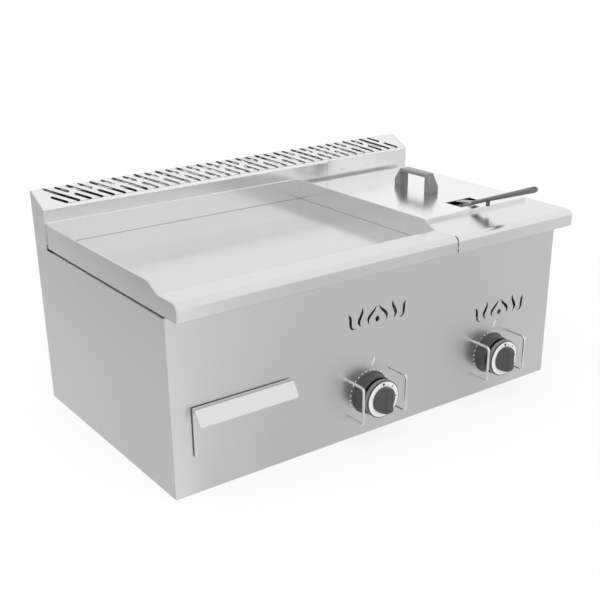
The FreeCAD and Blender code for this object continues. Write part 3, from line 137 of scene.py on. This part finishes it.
def add_world():
    """A white room: pure white where it is seen, a little dimmer as light."""
    world = bpy.data.worlds.new("white_room")
    scene.world = world
    node, link = new_tree(world)
    strength = node("ShaderNodeMapRange")
    strength.inputs["To Min"].default_value = WORLD_LIGHT
    strength.inputs["To Max"].default_value = 1.0
    link(seen_directly(node, link), strength.inputs["Value"])
    background = node("ShaderNodeBackground", Color=(1, 1, 1, 1))
    link(strength.outputs[0], background.inputs["Strength"])
    output = node("ShaderNodeOutputWorld")
    link(background.outputs[0], output.inputs["Surface"])


def add_floor():
    """A pale floor that keeps the object's soft shadow."""
    bpy.ops.mesh.primitive_plane_add(size=FLOOR_SIZE, location=(0, 0, 0))
    floor = bpy.context.object
    floor.name = "floor"
    paint = bpy.data.materials.new("pale_floor")
    node, link = new_tree(paint)
    lit = node("ShaderNodeBsdfDiffuse", Color=(FLOOR_COLOUR, FLOOR_COLOUR, FLOOR_COLOUR, 1))
    white = node("ShaderNodeEmission", Color=(1, 1, 1, 1), Strength=1.0)
    place = node("ShaderNodeTexCoord")
    away = node("ShaderNodeVectorMath", operation="LENGTH")
    link(place.outputs["Object"], away.inputs[0])
    fade = node("ShaderNodeMapRange")
    fade.inputs["From Min"].default_value, fade.inputs["From Max"].default_value = FLOOR_FADE
    fade.inputs["To Min"].default_value = FLOOR_WHITE_NEAR
    link(away.outputs["Value"], fade.inputs["Value"])
    share = node("ShaderNodeMath", operation="MULTIPLY")
    link(fade.outputs[0], share.inputs[1])
    link(seen_directly(node, link), share.inputs[0])
    mix = node("ShaderNodeMixShader")
    link(share.outputs[0], mix.inputs["Fac"])
    link(lit.outputs[0], mix.inputs[1])
    link(white.outputs[0], mix.inputs[2])
    output = node("ShaderNodeOutputMaterial")
    link(mix.outputs[0], output.inputs["Surface"])
    floor.data.materials.append(paint)


def add_soft_box(name, place, side, power):
    """A large soft lamp that points at the object and doesn't show in reflections."""
    lamp = bpy.data.lights.new(name, "AREA")
    lamp.shape = "RECTANGLE"
    lamp.size = lamp.size_y = side
    lamp.energy = power
    made = bpy.data.objects.new(name, lamp)
    made.location = place
    towards = Vector(LAMP_TARGET) - Vector(place)
    made.rotation_euler = towards.to_track_quat("-Z", "Y").to_euler()
    made.visible_glossy = False
    scene.collection.objects.link(made)


def add_card(name, low, high, centre, span, stops):
    """A level card that only reflections show, with greys that fan out from one spot.

    centre: that spot, the camera's place mirrored in the face that reflects the card. span: the
    slopes (x over y, or y over x) where the bands start and end. stops: the bands.
    """
    middle = [(a + b) / 2 for a, b in zip(low, high)]
    bpy.ops.mesh.primitive_plane_add(size=1.0, location=middle)
    card = bpy.context.object
    card.name = name
    card.scale = (high[0] - low[0], high[1] - low[1], 1)
    bpy.ops.object.transform_apply(location=True, rotation=False, scale=True)
    card.visible_camera = card.visible_diffuse = card.visible_shadow = False
    card.visible_transmission = card.visible_volume_scatter = False
    grey = bpy.data.materials.new(name)
    node, link = new_tree(grey)
    place = node("ShaderNodeTexCoord")
    offset = node("ShaderNodeVectorMath", operation="SUBTRACT")
    offset.inputs[1].default_value = centre
    link(place.outputs["Object"], offset.inputs[0])
    split = node("ShaderNodeSeparateXYZ")
    link(offset.outputs[0], split.inputs[0])
    slope = node("ShaderNodeMath", operation="DIVIDE")
    across, along = ("X", "Y") if high[1] - low[1] < high[0] - low[0] else ("Y", "X")
    link(split.outputs[across], slope.inputs[0])
    link(split.outputs[along], slope.inputs[1])
    spread = node("ShaderNodeMapRange")
    spread.inputs["From Min"].default_value, spread.inputs["From Max"].default_value = span
    link(slope.outputs[0], spread.inputs["Value"])
    ramp = node("ShaderNodeValToRGB")
    ramp.color_ramp.interpolation = "EASE"
    for i, (spot, shade) in enumerate(stops):
        stop = ramp.color_ramp.elements[i] if i < 2 else ramp.color_ramp.elements.new(spot)
        stop.position = spot
        stop.color = (shade, shade, shade, 1)
    link(spread.outputs[0], ramp.inputs[0])
    glow = node("ShaderNodeEmission")
    link(ramp.outputs[0], glow.inputs["Color"])
    output = node("ShaderNodeOutputMaterial")
    link(glow.outputs[0], output.inputs["Surface"])
    card.data.materials.append(grey)


def slopes(ends, spot, reach):
    """The slopes of the lines from a spot to the two ends of a face."""
    return tuple((end - spot) / -reach for end in ends)


def add_studio():
    """The white room, its floor and lamps, and the cards that the upright steel reflects."""
    add_world()
    add_floor()
    for lamp in LAMPS:
        add_soft_box(*lamp)
    panel_low, panel_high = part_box("front_panel")
    side_low, side_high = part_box("left_side_panel")
    face, flank = panel_low[1], side_low[0]
    centre = (CAMERA_PLACE.x, 2 * face - CAMERA_PLACE.y, 0)
    span = slopes((panel_low[0], panel_high[0]), centre[0], centre[1] - face)
    low, high = FRONT_CARD_ENDS
    add_card("front_card", (low, face - CARD_DEPTH, MM), (high, face, MM), centre, span,
             FRONT_BANDS)
    centre = (2 * flank - CAMERA_PLACE.x, CAMERA_PLACE.y, 0)
    span = slopes((side_low[1], side_high[1]), centre[1], centre[0] - flank)
    low, high = LEFT_CARD_ENDS
    add_card("left_card", (flank - CARD_DEPTH, low, MM), (flank, high, MM), centre, span,
             SIDE_BANDS)
    add_card("wall_card", (flank - CARD_DEPTH, low, 2 * MM),
             (flank - WALL_CARD_START, high, 2 * MM), centre, span, WALL_BANDS)


# ------------------------------------------------------------------ finishes

WAVES_PER_METRE = 3.2
HAZE_PER_METRE = 11.0
GRAIN_SHARE = 0.55
HAZE_SHARE = 0.45
MASK_RANGE = (0.3, 0.7)


def make_sheet_finish():
    """Fine grain along one direction, a faint haze, and the slow waves of thin sheet.

    Gives a mask for the colour, a roughness, and a height in millimetres.
    """
    group = bpy.data.node_groups.new("sheet_finish", "ShaderNodeTree")
    sockets = [("Grain Per Metre", "INPUT", "NodeSocketVector")]
    sockets += [(name, "INPUT", "NodeSocketFloat")
                for name in ("Grain Depth", "Wave Depth", "Roughness Low", "Roughness High")]
    sockets += [(name, "OUTPUT", "NodeSocketFloat") for name in ("Mask", "Roughness", "Height")]
    for name, direction, kind in sockets:
        group.interface.new_socket(name=name, in_out=direction, socket_type=kind)
    node, link = helpers_for(group)

    inside = node("NodeGroupInput")
    outside = node("NodeGroupOutput")
    place = node("ShaderNodeTexCoord")
    stretch = node("ShaderNodeMapping")
    link(place.outputs["Object"], stretch.inputs["Vector"])
    link(inside.outputs["Grain Per Metre"], stretch.inputs["Scale"])
    grain = node("ShaderNodeTexNoise", Scale=1.0, Detail=3.0, Roughness=0.6)
    link(stretch.outputs[0], grain.inputs["Vector"])
    wave = node("ShaderNodeTexNoise", Scale=WAVES_PER_METRE, Detail=1.0)
    link(place.outputs["Object"], wave.inputs["Vector"])
    haze = node("ShaderNodeTexNoise", Scale=HAZE_PER_METRE, Detail=4.0)
    link(place.outputs["Object"], haze.inputs["Vector"])

    blend = node("ShaderNodeMath", operation="MULTIPLY_ADD")
    blend.inputs[1].default_value = GRAIN_SHARE
    link(grain.outputs["Fac"], blend.inputs[0])
    haze_share = node("ShaderNodeMath", operation="MULTIPLY")
    haze_share.inputs[1].default_value = HAZE_SHARE
    link(haze.outputs["Fac"], haze_share.inputs[0])
    link(haze_share.outputs[0], blend.inputs[2])
    link(blend.outputs[0], outside.inputs["Mask"])

    rough = node("ShaderNodeMapRange")
    rough.inputs["From Min"].default_value, rough.inputs["From Max"].default_value = MASK_RANGE
    link(blend.outputs[0], rough.inputs["Value"])
    link(inside.outputs["Roughness Low"], rough.inputs["To Min"])
    link(inside.outputs["Roughness High"], rough.inputs["To Max"])
    link(rough.outputs[0], outside.inputs["Roughness"])

    fine = node("ShaderNodeMath", operation="MULTIPLY")
    link(grain.outputs["Fac"], fine.inputs[0])
    link(inside.outputs["Grain Depth"], fine.inputs[1])
    slow = node("ShaderNodeMath", operation="MULTIPLY")
    link(wave.outputs["Fac"], slow.inputs[0])
    link(inside.outputs["Wave Depth"], slow.inputs[1])
    height = node("ShaderNodeMath", operation="ADD")
    link(fine.outputs[0], height.inputs[0])
    link(slow.outputs[0], height.inputs[1])
    link(height.outputs[0], outside.inputs["Height"])
    return group


GRAIN_FINE = 1100.0
GRAIN_LONG = 14.0


def grain_along(axis):
    """How often the grain repeats in a metre: rarely along it, often across it."""
    return tuple(GRAIN_LONG if letter == axis else GRAIN_FINE for letter in "xyz")


STEEL_EDGE = 0.6 * MM
MOULDED_EDGE = 0.5 * MM
MOULDED_GRAIN = (900.0, 900.0, 900.0)
MOULDED_WAVE = 0.02
MOTTLE = 0.15
MIX_LOW, MIX_HIGH, MIX_OUT = 6, 7, 2


def material(name, dark, pale, metallic, edge, grain):
    """The sheet finish over metal or plastic, with its edges broken.

    dark and pale: the colours that the mask goes between. grain: values for the finish's inputs.
    """
    made = bpy.data.materials.new(name)
    node, link = new_tree(made)
    finish = node("ShaderNodeGroup", node_tree=sheet_finish)
    for socket, value in grain.items():
        finish.inputs[socket].default_value = value
    colour = node("ShaderNodeMix", data_type="RGBA")
    colour.inputs[MIX_LOW].default_value = dark + (1,)
    colour.inputs[MIX_HIGH].default_value = pale + (1,)
    link(finish.outputs["Mask"], colour.inputs[0])
    soft_edge = node("ShaderNodeBevel", samples=4, Radius=edge)
    bump = node("ShaderNodeBump", Distance=MM, Strength=1.0)
    link(finish.outputs["Height"], bump.inputs["Height"])
    link(soft_edge.outputs[0], bump.inputs["Normal"])
    surface = node("ShaderNodeBsdfPrincipled", Metallic=metallic)
    link(colour.outputs[MIX_OUT], surface.inputs["Base Color"])
    link(finish.outputs["Roughness"], surface.inputs["Roughness"])
    link(bump.outputs[0], surface.inputs["Normal"])
    output = node("ShaderNodeOutputMaterial")
    link(surface.outputs[0], output.inputs["Surface"])
    return made


def steel(name, shade, along, rough, grain, wave=0.12, contrast=0.06, tint=(1.0, 1.0, 1.0)):
    """Stainless sheet: grain, haze and waves over metal."""
    dark, pale = (tuple(amount * part for part in tint)
                  for amount in (shade * (1 - contrast), shade * (1 + contrast)))
    return material(name, dark, pale, 1.0, STEEL_EDGE, {
        "Grain Per Metre": grain_along(along), "Grain Depth": grain, "Wave Depth": wave,
        "Roughness Low": rough[0], "Roughness High": rough[1]})


def moulded(name, colour, rough, grain):
    """Moulded plastic or enamel: a fine even texture with a slight mottle."""
    dark = tuple(part * (1 - MOTTLE) for part in colour)
    pale = tuple(min(part * (1 + MOTTLE), 1) for part in colour)
    return material(name, dark, pale, 0.0, MOULDED_EDGE, {
        "Grain Per Metre": MOULDED_GRAIN, "Grain Depth": grain, "Wave Depth": MOULDED_WAVE,
        "Roughness Low": rough[0], "Roughness High": rough[1]})


sheet_finish = make_sheet_finish()

FINISHES = {
    # The stainless sheets below are one steel in lighter and darker copies, each shade set to how
    # bright that part looks under the light: painted light and shade.
    "front_sheet": steel("front_sheet", 0.655, "x", (0.33, 0.35), grain=0.0003, contrast=0.012),
    "side_sheet": steel("side_sheet", 0.67, "y", (0.35, 0.38), grain=0.0004, contrast=0.015),
    "wall_sheet": steel("wall_sheet", 0.68, "y", (0.18, 0.26), grain=0.005),
    "rim_sheet": steel("rim_sheet", 0.72, "x", (0.14, 0.22), grain=0.001, wave=0.2),
    "rear_sheet": steel("rear_sheet", 0.88, "x", (0.14, 0.22), grain=0.001, wave=0.2),
    "flue_sheet": steel("flue_sheet", 0.84, "x", (0.18, 0.26), grain=0.001, wave=0.2),
    "lid_sheet": steel("lid_sheet", 0.86, "y", (0.16, 0.22), grain=0.0008, wave=0.1),
    "worktop_sheet": steel("worktop_sheet", 0.76, "y", (0.17, 0.24), grain=0.0008, wave=0.1),
    # The fryer tank's steel is much darker than the other steel: painted shade for the inside of
    # the tank under its lid.
    "tank_painted_shade": steel("tank_painted_shade", 0.24, "z", (0.3, 0.45), grain=0.002, contrast=0.2),
    "ground_plate": steel("ground_plate", 0.68, "x", (0.10, 0.17), grain=0.0012, wave=0.05),
    "weld": steel("weld", 0.36, "x", (0.35, 0.5), grain=0.004, contrast=0.2),
    "drawer_sheet": steel("drawer_sheet", 0.74, "x", (0.2, 0.28), grain=0.005),
    "bright_wire": steel("bright_wire", 0.80, "x", (0.10, 0.16), grain=0.001, wave=0.0),
    # The basket's wire is darker than the bright wire: painted shade for the basket inside the
    # covered tank.
    "basket_wire": steel("basket_wire", 0.50, "x", (0.22, 0.34), grain=0.001, wave=0.0),
    "shield_sheet": steel("shield_sheet", 0.58, "z", (0.38, 0.5), grain=0.01, contrast=0.12),
    "burner_tube": steel("burner_tube", 0.42, "x", (0.35, 0.5), grain=0.01, contrast=0.2,
                         tint=(1.0, 0.93, 0.84)),
    "galvanised_pipe": steel("galvanised_pipe", 0.46, "x", (0.34, 0.5), grain=0.01,
                             contrast=0.25),
    "machined_brass": steel("machined_brass", 0.78, "x", (0.2, 0.3), grain=0.004,
                            tint=(1.0, 0.78, 0.42)),
    "knob_plastic": moulded("knob_plastic", (0.06, 0.06, 0.061), (0.26, 0.36), 0.004),
    "handle_plastic": moulded("handle_plastic", (0.19, 0.19, 0.192), (0.22, 0.32), 0.003),
    "grip_plastic": moulded("grip_plastic", (0.12, 0.12, 0.122), (0.34, 0.46), 0.006),
    "dial_enamel": moulded("dial_enamel", (0.93, 0.93, 0.925), (0.25, 0.35), 0.001),
    # A lighter grey for the side of the knob's rim: a painted highlight, not a part of another
    # colour.
    "knob_rim_painted_highlight": moulded("knob_rim_painted_highlight", (0.22, 0.22, 0.222), (0.3, 0.4), 0.004),
    "white_print": moulded("white_print", (0.82, 0.82, 0.82), (0.4, 0.5), 0.002),
    "black_print": moulded("black_print", (0.02, 0.02, 0.02), (0.4, 0.5), 0.002),
}

DRESS = {
    "front_sheet": ["front_panel", "drawer_front"],
    "side_sheet": ["left_side_panel", "right_side_panel", "base_pan", "rear_panel",
                   "centre_bulkhead", "plate_support_rails", "drawer_runners"],
    # The flue's end caps take the darker wall shade, as painted shade.
    "wall_sheet": ["griddle_left_wall", "griddle_divider_wall", "flue_end_cap_left",
                   "flue_end_cap_right"],
    "rim_sheet": ["griddle_front_rim"],
    "rear_sheet": ["griddle_rear_wall"],
    "flue_sheet": ["flue_hood", "flue_front_cover"],
    "lid_sheet": ["fryer_lid"],
    "worktop_sheet": ["fryer_worktop"],
    "tank_painted_shade": ["fryer_tank", "basket_rest"],
    "ground_plate": ["griddle_plate"],
    "drawer_sheet": ["drawer_tray", "drawer_pull", "grease_chute"],
    "bright_wire": ["griddle_knob_guards", "fryer_knob_guards", "guard_nuts",
                    "flue_cover_screws", "rear_panel_screws", "lid_handle_screws",
                    "griddle_spindle", "fryer_spindle", "griddle_valve_plunger",
                    "fryer_valve_plunger"],
    "basket_wire": ["basket_frame", "basket_mesh", "basket_handle_rods"],
    "shield_sheet": ["fryer_heat_shield", "griddle_heat_deflector", "manifold_brackets"],
    "burner_tube": ["griddle_burner", "fryer_burner", "griddle_burner_cradle",
                    "fryer_burner_cradle", "pilot_burners"],
    "galvanised_pipe": ["gas_manifold", "gas_inlet_pipe"],
    "machined_brass": ["griddle_gas_valve", "fryer_gas_valve", "gas_injectors",
                       "gas_supply_tubes", "thermocouples"],
    "knob_plastic": ["griddle_knob", "fryer_knob", "knob_bezels"],
    "handle_plastic": ["lid_handle"],
    "grip_plastic": ["basket_handle_grip"],
    "dial_enamel": ["griddle_dial", "fryer_dial"],
}


def dress_nodes():
    """Gives every CAD node its finish."""
    for finish, names in DRESS.items():
        for name in names:
            data = nodes[name].data
            data.materials.clear()
            data.materials.append(FINISHES[finish])


# ------------------------------------------------------------------ modelling helpers

def edit(select="SELECT"):
    """Enters edit mode on the active piece, with all of its mesh selected or none."""
    bpy.ops.object.mode_set(mode="EDIT")
    bpy.ops.mesh.select_all(action=select)


def leave_edit():
    """Goes back to object mode."""
    bpy.ops.object.mode_set(mode="OBJECT")


def turned(centre, profile, sides=96):
    """A round piece about an axis along Y, drawn ring by ring.

    profile: (radius, y). It is closed when its first and last rings are one.
    """
    radius, along = profile[0]
    x, _, z = centre
    bpy.ops.object.select_all(action="DESELECT")
    bpy.ops.mesh.primitive_circle_add(vertices=sides, radius=radius, location=(x, along, z),
                                      rotation=(math.radians(90), 0, 0))
    piece = bpy.context.object
    edit()
    for next_radius, next_along in profile[1:]:
        step = (0, next_along - along, 0)
        bpy.ops.mesh.extrude_region_move(TRANSFORM_OT_translate={"value": step})
        grow = next_radius / radius
        bpy.ops.transform.resize(value=(grow, 1, grow), center_override=(x, next_along, z))
        radius, along = next_radius, next_along
    bpy.ops.mesh.select_all(action="SELECT")
    if profile[0] == profile[-1]:
        bpy.ops.mesh.remove_doubles(threshold=0.01 * MM)
    else:
        bpy.ops.mesh.fill_holes(sides=0)
    bpy.ops.mesh.normals_make_consistent(inside=False)
    leave_edit()
    bpy.ops.object.transform_apply(location=True, rotation=True, scale=True)
    return piece


def block(low, high):
    """A box between two corners, ready to be shaped."""
    bpy.ops.object.select_all(action="DESELECT")
    middle = [(a + b) / 2 for a, b in zip(low, high)]
    bpy.ops.mesh.primitive_cube_add(size=1, location=middle)
    piece = bpy.context.object
    piece.scale = [b - a for a, b in zip(low, high)]
    bpy.ops.object.transform_apply(location=True, rotation=True, scale=True)
    return piece


def select_only(piece):
    """Selects one piece and makes it the active one."""
    bpy.ops.object.select_all(action="DESELECT")
    piece.select_set(True)
    bpy.context.view_layer.objects.active = piece


def apply_modifier(piece, kind, **values):
    """Adds a modifier to a piece and applies it at once."""
    select_only(piece)
    modifier = piece.modifiers.new(kind.lower(), kind)
    for name, value in values.items():
        setattr(modifier, name, value)
    bpy.ops.object.modifier_apply(modifier=modifier.name)


def combine(piece, operation, *tools):
    """Unites a piece with other shapes, or cuts them from it; the tools are used up."""
    for tool in tools:
        apply_modifier(piece, "BOOLEAN", operation=operation, object=tool, solver="EXACT")
        bpy.data.objects.remove(tool)


EDGE_ANGLE = math.radians(35)


def round_edges(piece, width, segments=3):
    """Rounds a piece's sharp edges; the width is in millimetres."""
    apply_modifier(piece, "BEVEL", width=width * MM, segments=segments, limit_method="ANGLE",
                   angle_limit=EDGE_ANGLE, use_clamp_overlap=True)


def joined(pieces):
    """Makes one piece of several."""
    bpy.ops.object.select_all(action="DESELECT")
    for piece in pieces:
        piece.select_set(True)
    bpy.context.view_layer.objects.active = pieces[0]
    bpy.ops.object.join()
    return pieces[0]


def done(piece, name, finish, body, replaced=(), smooth=38):
    """Names a finished piece, gives it its finish and ties it to its body."""
    piece.name = name
    piece.data.materials.clear()
    piece.data.materials.append(FINISHES[finish])
    select_only(piece)
    bpy.ops.object.shade_smooth_by_angle(angle=math.radians(smooth))
    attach(piece, body)
    if replaced:
        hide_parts(*replaced)


def copy_of(node):
    """A merged copy of a CAD node's mesh, with its flat faces made whole."""
    copy = bpy.data.objects.new(node + "_copy", nodes[node].data.copy())
    scene.collection.objects.link(copy)
    select_only(copy)
    edit()
    bpy.ops.mesh.select_mode(type="FACE")
    bpy.ops.mesh.remove_doubles(threshold=0.005 * MM)
    bpy.ops.mesh.dissolve_limited(angle_limit=math.radians(0.5))
    bpy.ops.mesh.select_all(action="DESELECT")
    leave_edit()
    return copy


# ------------------------------------------------------------------ controls

# Profiles are (radius, distance to the rear) in millimetres. A knob's is measured from the face
# of its pale ring, and the panel ring's from the panel.
KNOB_PROFILE = [
    (23.5, 30.5), (25.2, 30.3), (26.0, 29.4), (26.0, 12.2), (26.6, 10.8), (28.0, 10.0),
    (31.2, 10.0), (32.2, 9.7), (32.8, 9.0), (33.0, 8.0), (33.0, 2.2), (32.8, 1.1), (32.2, 0.4),
    (31.4, 0.05), (31.12, 0.25), (31.06, 1.5), (22.4, 1.52), (22.4, 0.5)]
DOME_PROFILE = [
    (22.4, 6.0), (22.4, -3.2), (22.2, -7.0), (21.6, -11.0), (20.6, -14.4), (19.4, -16.4),
    (18.2, -17.2), (17.0, -17.5)]
PANEL_RING_PROFILE = [
    (30.5, -0.05), (37.6, -0.05), (37.6, -0.6), (37.2, -1.0), (35.2, -1.5), (33.8, -19.4),
    (33.4, -20.3), (32.8, -20.8), (31.8, -20.6), (31.0, -19.5), (30.5, -0.05)]
KNOB_SIDES = 128
FACE_TO_BAR = 17.5 * MM
BAR_HALF = 6.5 * MM
SCOOP_REACH = 19.5 * MM
SCOOP_DEPTH = 14.4 * MM
SCOOP_LENGTH = 60 * MM
# The knob rim's painted highlight: faces farther out than this radius, between these two depths
# behind the pale ring's face.
HIGHLIGHT_BAND_RADIUS = 32 * MM
HIGHLIGHT_BAND_DEPTH = (2 * MM, 9.4 * MM)


def centre_of(node):
    """The middle of a CAD node's box."""
    low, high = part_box(node)
    return [(a + b) / 2 for a, b in zip(low, high)]


def scaled(profile, start):
    """A profile in millimetres, measured from a starting place, as metres."""
    return [(radius * MM, start + along * MM) for radius, along in profile]


def knob(kind):
    """A knob: hub, rounded rim with a seat for the pale ring, and a scooped finger bar."""
    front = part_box(kind + "_knob")[0][1]
    centre = centre_of(kind + "_knob")
    x, _, z = centre
    face = front + FACE_TO_BAR
    body = turned(centre, scaled(KNOB_PROFILE, face), KNOB_SIDES)
    dome = turned(centre, scaled(DOME_PROFILE, face), KNOB_SIDES)
    scoops = []
    for side in (-1, 1):
        spot = (x + side * (BAR_HALF + SCOOP_REACH), front, z)
        bpy.ops.object.select_all(action="DESELECT")
        bpy.ops.mesh.primitive_cylinder_add(vertices=96, radius=1, depth=SCOOP_LENGTH,
                                            location=spot)
        scoop = bpy.context.object
        scoop.scale = (SCOOP_REACH, SCOOP_DEPTH, 1)
        bpy.ops.object.transform_apply(location=True, rotation=True, scale=True)
        scoops.append(scoop)
    combine(dome, "DIFFERENCE", *scoops)
    round_edges(dome, 0.9)
    combine(body, "UNION", dome)
    done(body, kind + "_knob_body", "knob_plastic", kind + "_control",
         (kind + "_knob",), 30)
    # The side of the rim gets the lighter grey: a painted highlight where light catches the knob's
    # rim.
    body.data.materials.append(FINISHES["knob_rim_painted_highlight"])
    highlight_front, highlight_rear = (face + depth for depth in HIGHLIGHT_BAND_DEPTH)
    for side in body.data.polygons:
        from_axis = math.hypot(side.center.x - x, side.center.z - z)
        if from_axis > HIGHLIGHT_BAND_RADIUS and highlight_front < side.center.y < highlight_rear:
            side.material_index = 1


PRINT_THICKNESS = 0.12 * MM
PRINT_SUNK = 0.1 * MM


def dot(centre, radius):
    """A small round mark, standing a hair proud of a face that looks to the front."""
    face = centre[1]
    return turned(centre, [
        (radius, face + PRINT_SUNK), (radius, face - PRINT_THICKNESS * 0.5),
        (radius * 0.9, face - PRINT_THICKNESS)], 24)


def around(centre, radius, degrees):
    """A spot on a ring about a control, clockwise from its top as seen from the front."""
    angle = math.radians(degrees)
    return (centre[0] + radius * math.sin(angle), centre[1], centre[2] + radius * math.cos(angle))


# The dial's dots: place in degrees, and radius in millimetres.
DIAL_MARKS = [(0, 2.3), (45, 1.3), (90, 1.3), (135, 1.3)]
DIAL_DOTS_RING = 26.8 * MM
PANEL_DOT_ANGLES = range(-132, 133, 12)
PANEL_DOTS_RING = 40.3 * MM
PANEL_DOT_RADIUS = 1.5 * MM
TICK_HALF_WIDTH = 1.6 * MM
TICK_LOW, TICK_MIDDLE, TICK_HIGH = 47 * MM, 54 * MM, 61 * MM
TICK_TURN = math.radians(-26)
TICK_SHIFT = 6.5 * MM


def control_marks(kind):
    """Plain dots on the pale ring, a ring of dots on the panel, and a slanted pointer."""
    x, _, z = centre_of(kind + "_dial")
    ring = (x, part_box(kind + "_dial")[0][1], z)
    dots = [dot(around(ring, DIAL_DOTS_RING, degrees), size * MM) for degrees, size in DIAL_MARKS]
    done(joined(dots), kind + "_dial_dots", "black_print", kind + "_control")
    panel = (x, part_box("front_panel")[0][1], z)
    backing = turned(panel, scaled(PANEL_RING_PROFILE, panel[1]))
    done(backing, kind + "_bezel_ring", "knob_plastic", "cabinet")
    dots = [dot(around(panel, PANEL_DOTS_RING, degrees), PANEL_DOT_RADIUS)
            for degrees in PANEL_DOT_ANGLES]
    done(joined(dots), kind + "_panel_dots", "white_print", "cabinet")
    tick = block((x - TICK_HALF_WIDTH, panel[1] - PRINT_THICKNESS, z + TICK_LOW),
                 (x + TICK_HALF_WIDTH, panel[1] + PRINT_SUNK, z + TICK_HIGH))
    edit()
    bpy.ops.transform.rotate(value=TICK_TURN, orient_axis="Y",
                             center_override=(x, panel[1], z + TICK_MIDDLE))
    bpy.ops.transform.translate(value=(TICK_SHIFT, 0, 0))
    leave_edit()
    round_edges(tick, 0.05)
    done(tick, kind + "_pointer_mark", "white_print", "cabinet")


# ------------------------------------------------------------------ lid, basket and screws

def softened(node, width, finish, body):
    """Stands for a CAD node with the same shape, its edges rounded."""
    piece = copy_of(node)
    round_edges(piece, width)
    done(piece, node + "_shaped", finish, body, (node,))


MESH_CELL = 7 * MM
MESH_WIRE = 0.9 * MM


def wire_basket():
    """The basket's sides and floor: square wire mesh inside its frame."""
    low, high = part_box("basket_mesh")
    basket = block([a + MESH_WIRE for a in low], [b - MESH_WIRE for b in high])
    edit("DESELECT")
    leave_edit()
    top = max(basket.data.polygons, key=lambda face: face.center.z)
    top.select = True
    bpy.ops.object.mode_set(mode="EDIT")
    bpy.ops.mesh.delete(type="FACE")
    leave_edit()
    cells = [round((b - a) / MESH_CELL) for a, b in zip(low, high)]
    size = [b - a for a, b in zip(low, high)]
    for axis in range(3):
        normal = [0, 0, 0]
        normal[axis] = 1
        for i in range(1, cells[axis]):
            spot = list(low)
            spot[axis] = low[axis] + size[axis] * i / cells[axis]
            edit()
            bpy.ops.mesh.bisect(plane_co=spot, plane_no=normal)
            leave_edit()
    apply_modifier(basket, "WIREFRAME", thickness=MESH_WIRE, use_boundary=True,
                   use_even_offset=False, use_replace=True)
    done(basket, "basket_wires", "basket_wire", "basket", ("basket_mesh",))


SEAM_HALF = 0.9 * MM


def plate_seams():
    """Thin weld lines where the plate meets its walls and its front rim."""
    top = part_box("griddle_plate")[1][2]
    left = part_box("griddle_left_wall")[1][0]
    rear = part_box("griddle_rear_wall")[0][1]
    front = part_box("griddle_front_rim")[1][1]
    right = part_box("griddle_divider_wall")[0][0]
    under, over = top - SEAM_HALF, top + SEAM_HALF / 2
    seams = [block((left, y - SEAM_HALF, under), (right, y + SEAM_HALF, over))
             for y in (front, rear)]
    seams += [block((x - SEAM_HALF, front, under), (x + SEAM_HALF, rear, over))
              for x in (left, right)]
    for seam in seams:
        round_edges(seam, 0.5, 2)
    done(joined(seams), "plate_seams", "weld", "cabinet")


PULL_CORNER = 4 * MM
PULL_SIDE_GAP = 0.1 * MM
LIP_HEIGHT = 2 * MM
SHEET_EDGE = (0.5 * MM, 3 * MM)


def drawer_pull():
    """The folded pull, with the corners of its lip rounded."""
    pull = copy_of("drawer_pull")
    low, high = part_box("drawer_pull")
    corners = pull.data.vertices
    bpy.ops.object.mode_set(mode="EDIT")
    bpy.ops.mesh.select_mode(type="EDGE")
    leave_edit()
    for edge in pull.data.edges:
        ends = [corners[i].co for i in edge.vertices]
        at_side = all(min(end.x - low[0], high[0] - end.x) < PULL_SIDE_GAP for end in ends)
        at_lip = all(end.z - low[2] < LIP_HEIGHT for end in ends)
        through_sheet = SHEET_EDGE[0] < (ends[0] - ends[1]).length < SHEET_EDGE[1]
        edge.select = at_side and at_lip and through_sheet
    bpy.ops.object.mode_set(mode="EDIT")
    bpy.ops.mesh.bevel(offset=PULL_CORNER, segments=6, affect="EDGES")
    leave_edit()
    done(pull, "folded_pull", "drawer_sheet", "grease_drawer",
         ("drawer_pull",))


SLOT_WIDENING = 1.1 * MM
HOOD_MARGIN = 4 * MM
SLOT_WALL_LEAN = 0.12
SLOT_WALL_AREA = 1e-4


def flue():
    """The slotted hood, its slots opened to their full width."""
    hood = copy_of("flue_hood")
    low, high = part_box("flue_hood")
    rise = Vector((0, high[1] - low[1], high[2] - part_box("flue_front_cover")[1][2])).normalized()
    normal = Vector((0, -rise.z, rise.y))
    for side in hood.data.polygons:
        inside = all(low[i] + HOOD_MARGIN < side.center[i] < high[i] - HOOD_MARGIN
                     for i in range(2))
        upright = abs(side.normal.dot(normal)) < SLOT_WALL_LEAN
        side.select = inside and upright and side.area < SLOT_WALL_AREA
    bpy.ops.object.mode_set(mode="EDIT")
    bpy.ops.transform.shrink_fatten(value=-SLOT_WIDENING)
    leave_edit()
    done(hood, "slotted_hood", "flue_sheet", "cabinet", ("flue_hood",))


BOLT_SIDES = 48
BOLT_BREAK = 0.1 * MM
# A bolt's rings from washer to tip: share of its radius, and share of its depth from the front.
BOLT_RINGS = [(1, 0.72), (0.96, 0.66), (0.8, 0.64), (0.78, 0.5), (0.7, 0.28), (0.52, 0.1),
              (0.3, 0)]


def flue_bolts():
    """Two dome-headed bolts with washers on the flue's cover."""
    low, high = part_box("flue_cover_screws")
    front, rear = low[1], high[1]
    reach = (high[2] - low[2]) / 2
    profile = [(reach * 0.9, rear), (reach, rear - BOLT_BREAK)]
    profile += [(reach * radius, front + (rear - front) * depth) for radius, depth in BOLT_RINGS]
    bolts = [turned((x, 0, (low[2] + high[2]) / 2), profile, BOLT_SIDES)
             for x in (low[0] + reach, high[0] - reach)]
    done(joined(bolts), "flue_cover_bolts", "bright_wire", "cabinet",
         ("flue_cover_screws",), 30)


add_camera()
scene.view_settings.view_transform = "Standard"
add_studio()
dress_nodes()
for control in ("griddle", "fryer"):
    knob(control)
    control_marks(control)
softened("lid_handle", 0.9, "handle_plastic", "lid")
softened("basket_handle_grip", 1.2, "grip_plastic", "basket")
wire_basket()
drawer_pull()
flue()
flue_bolts()
plate_seams()
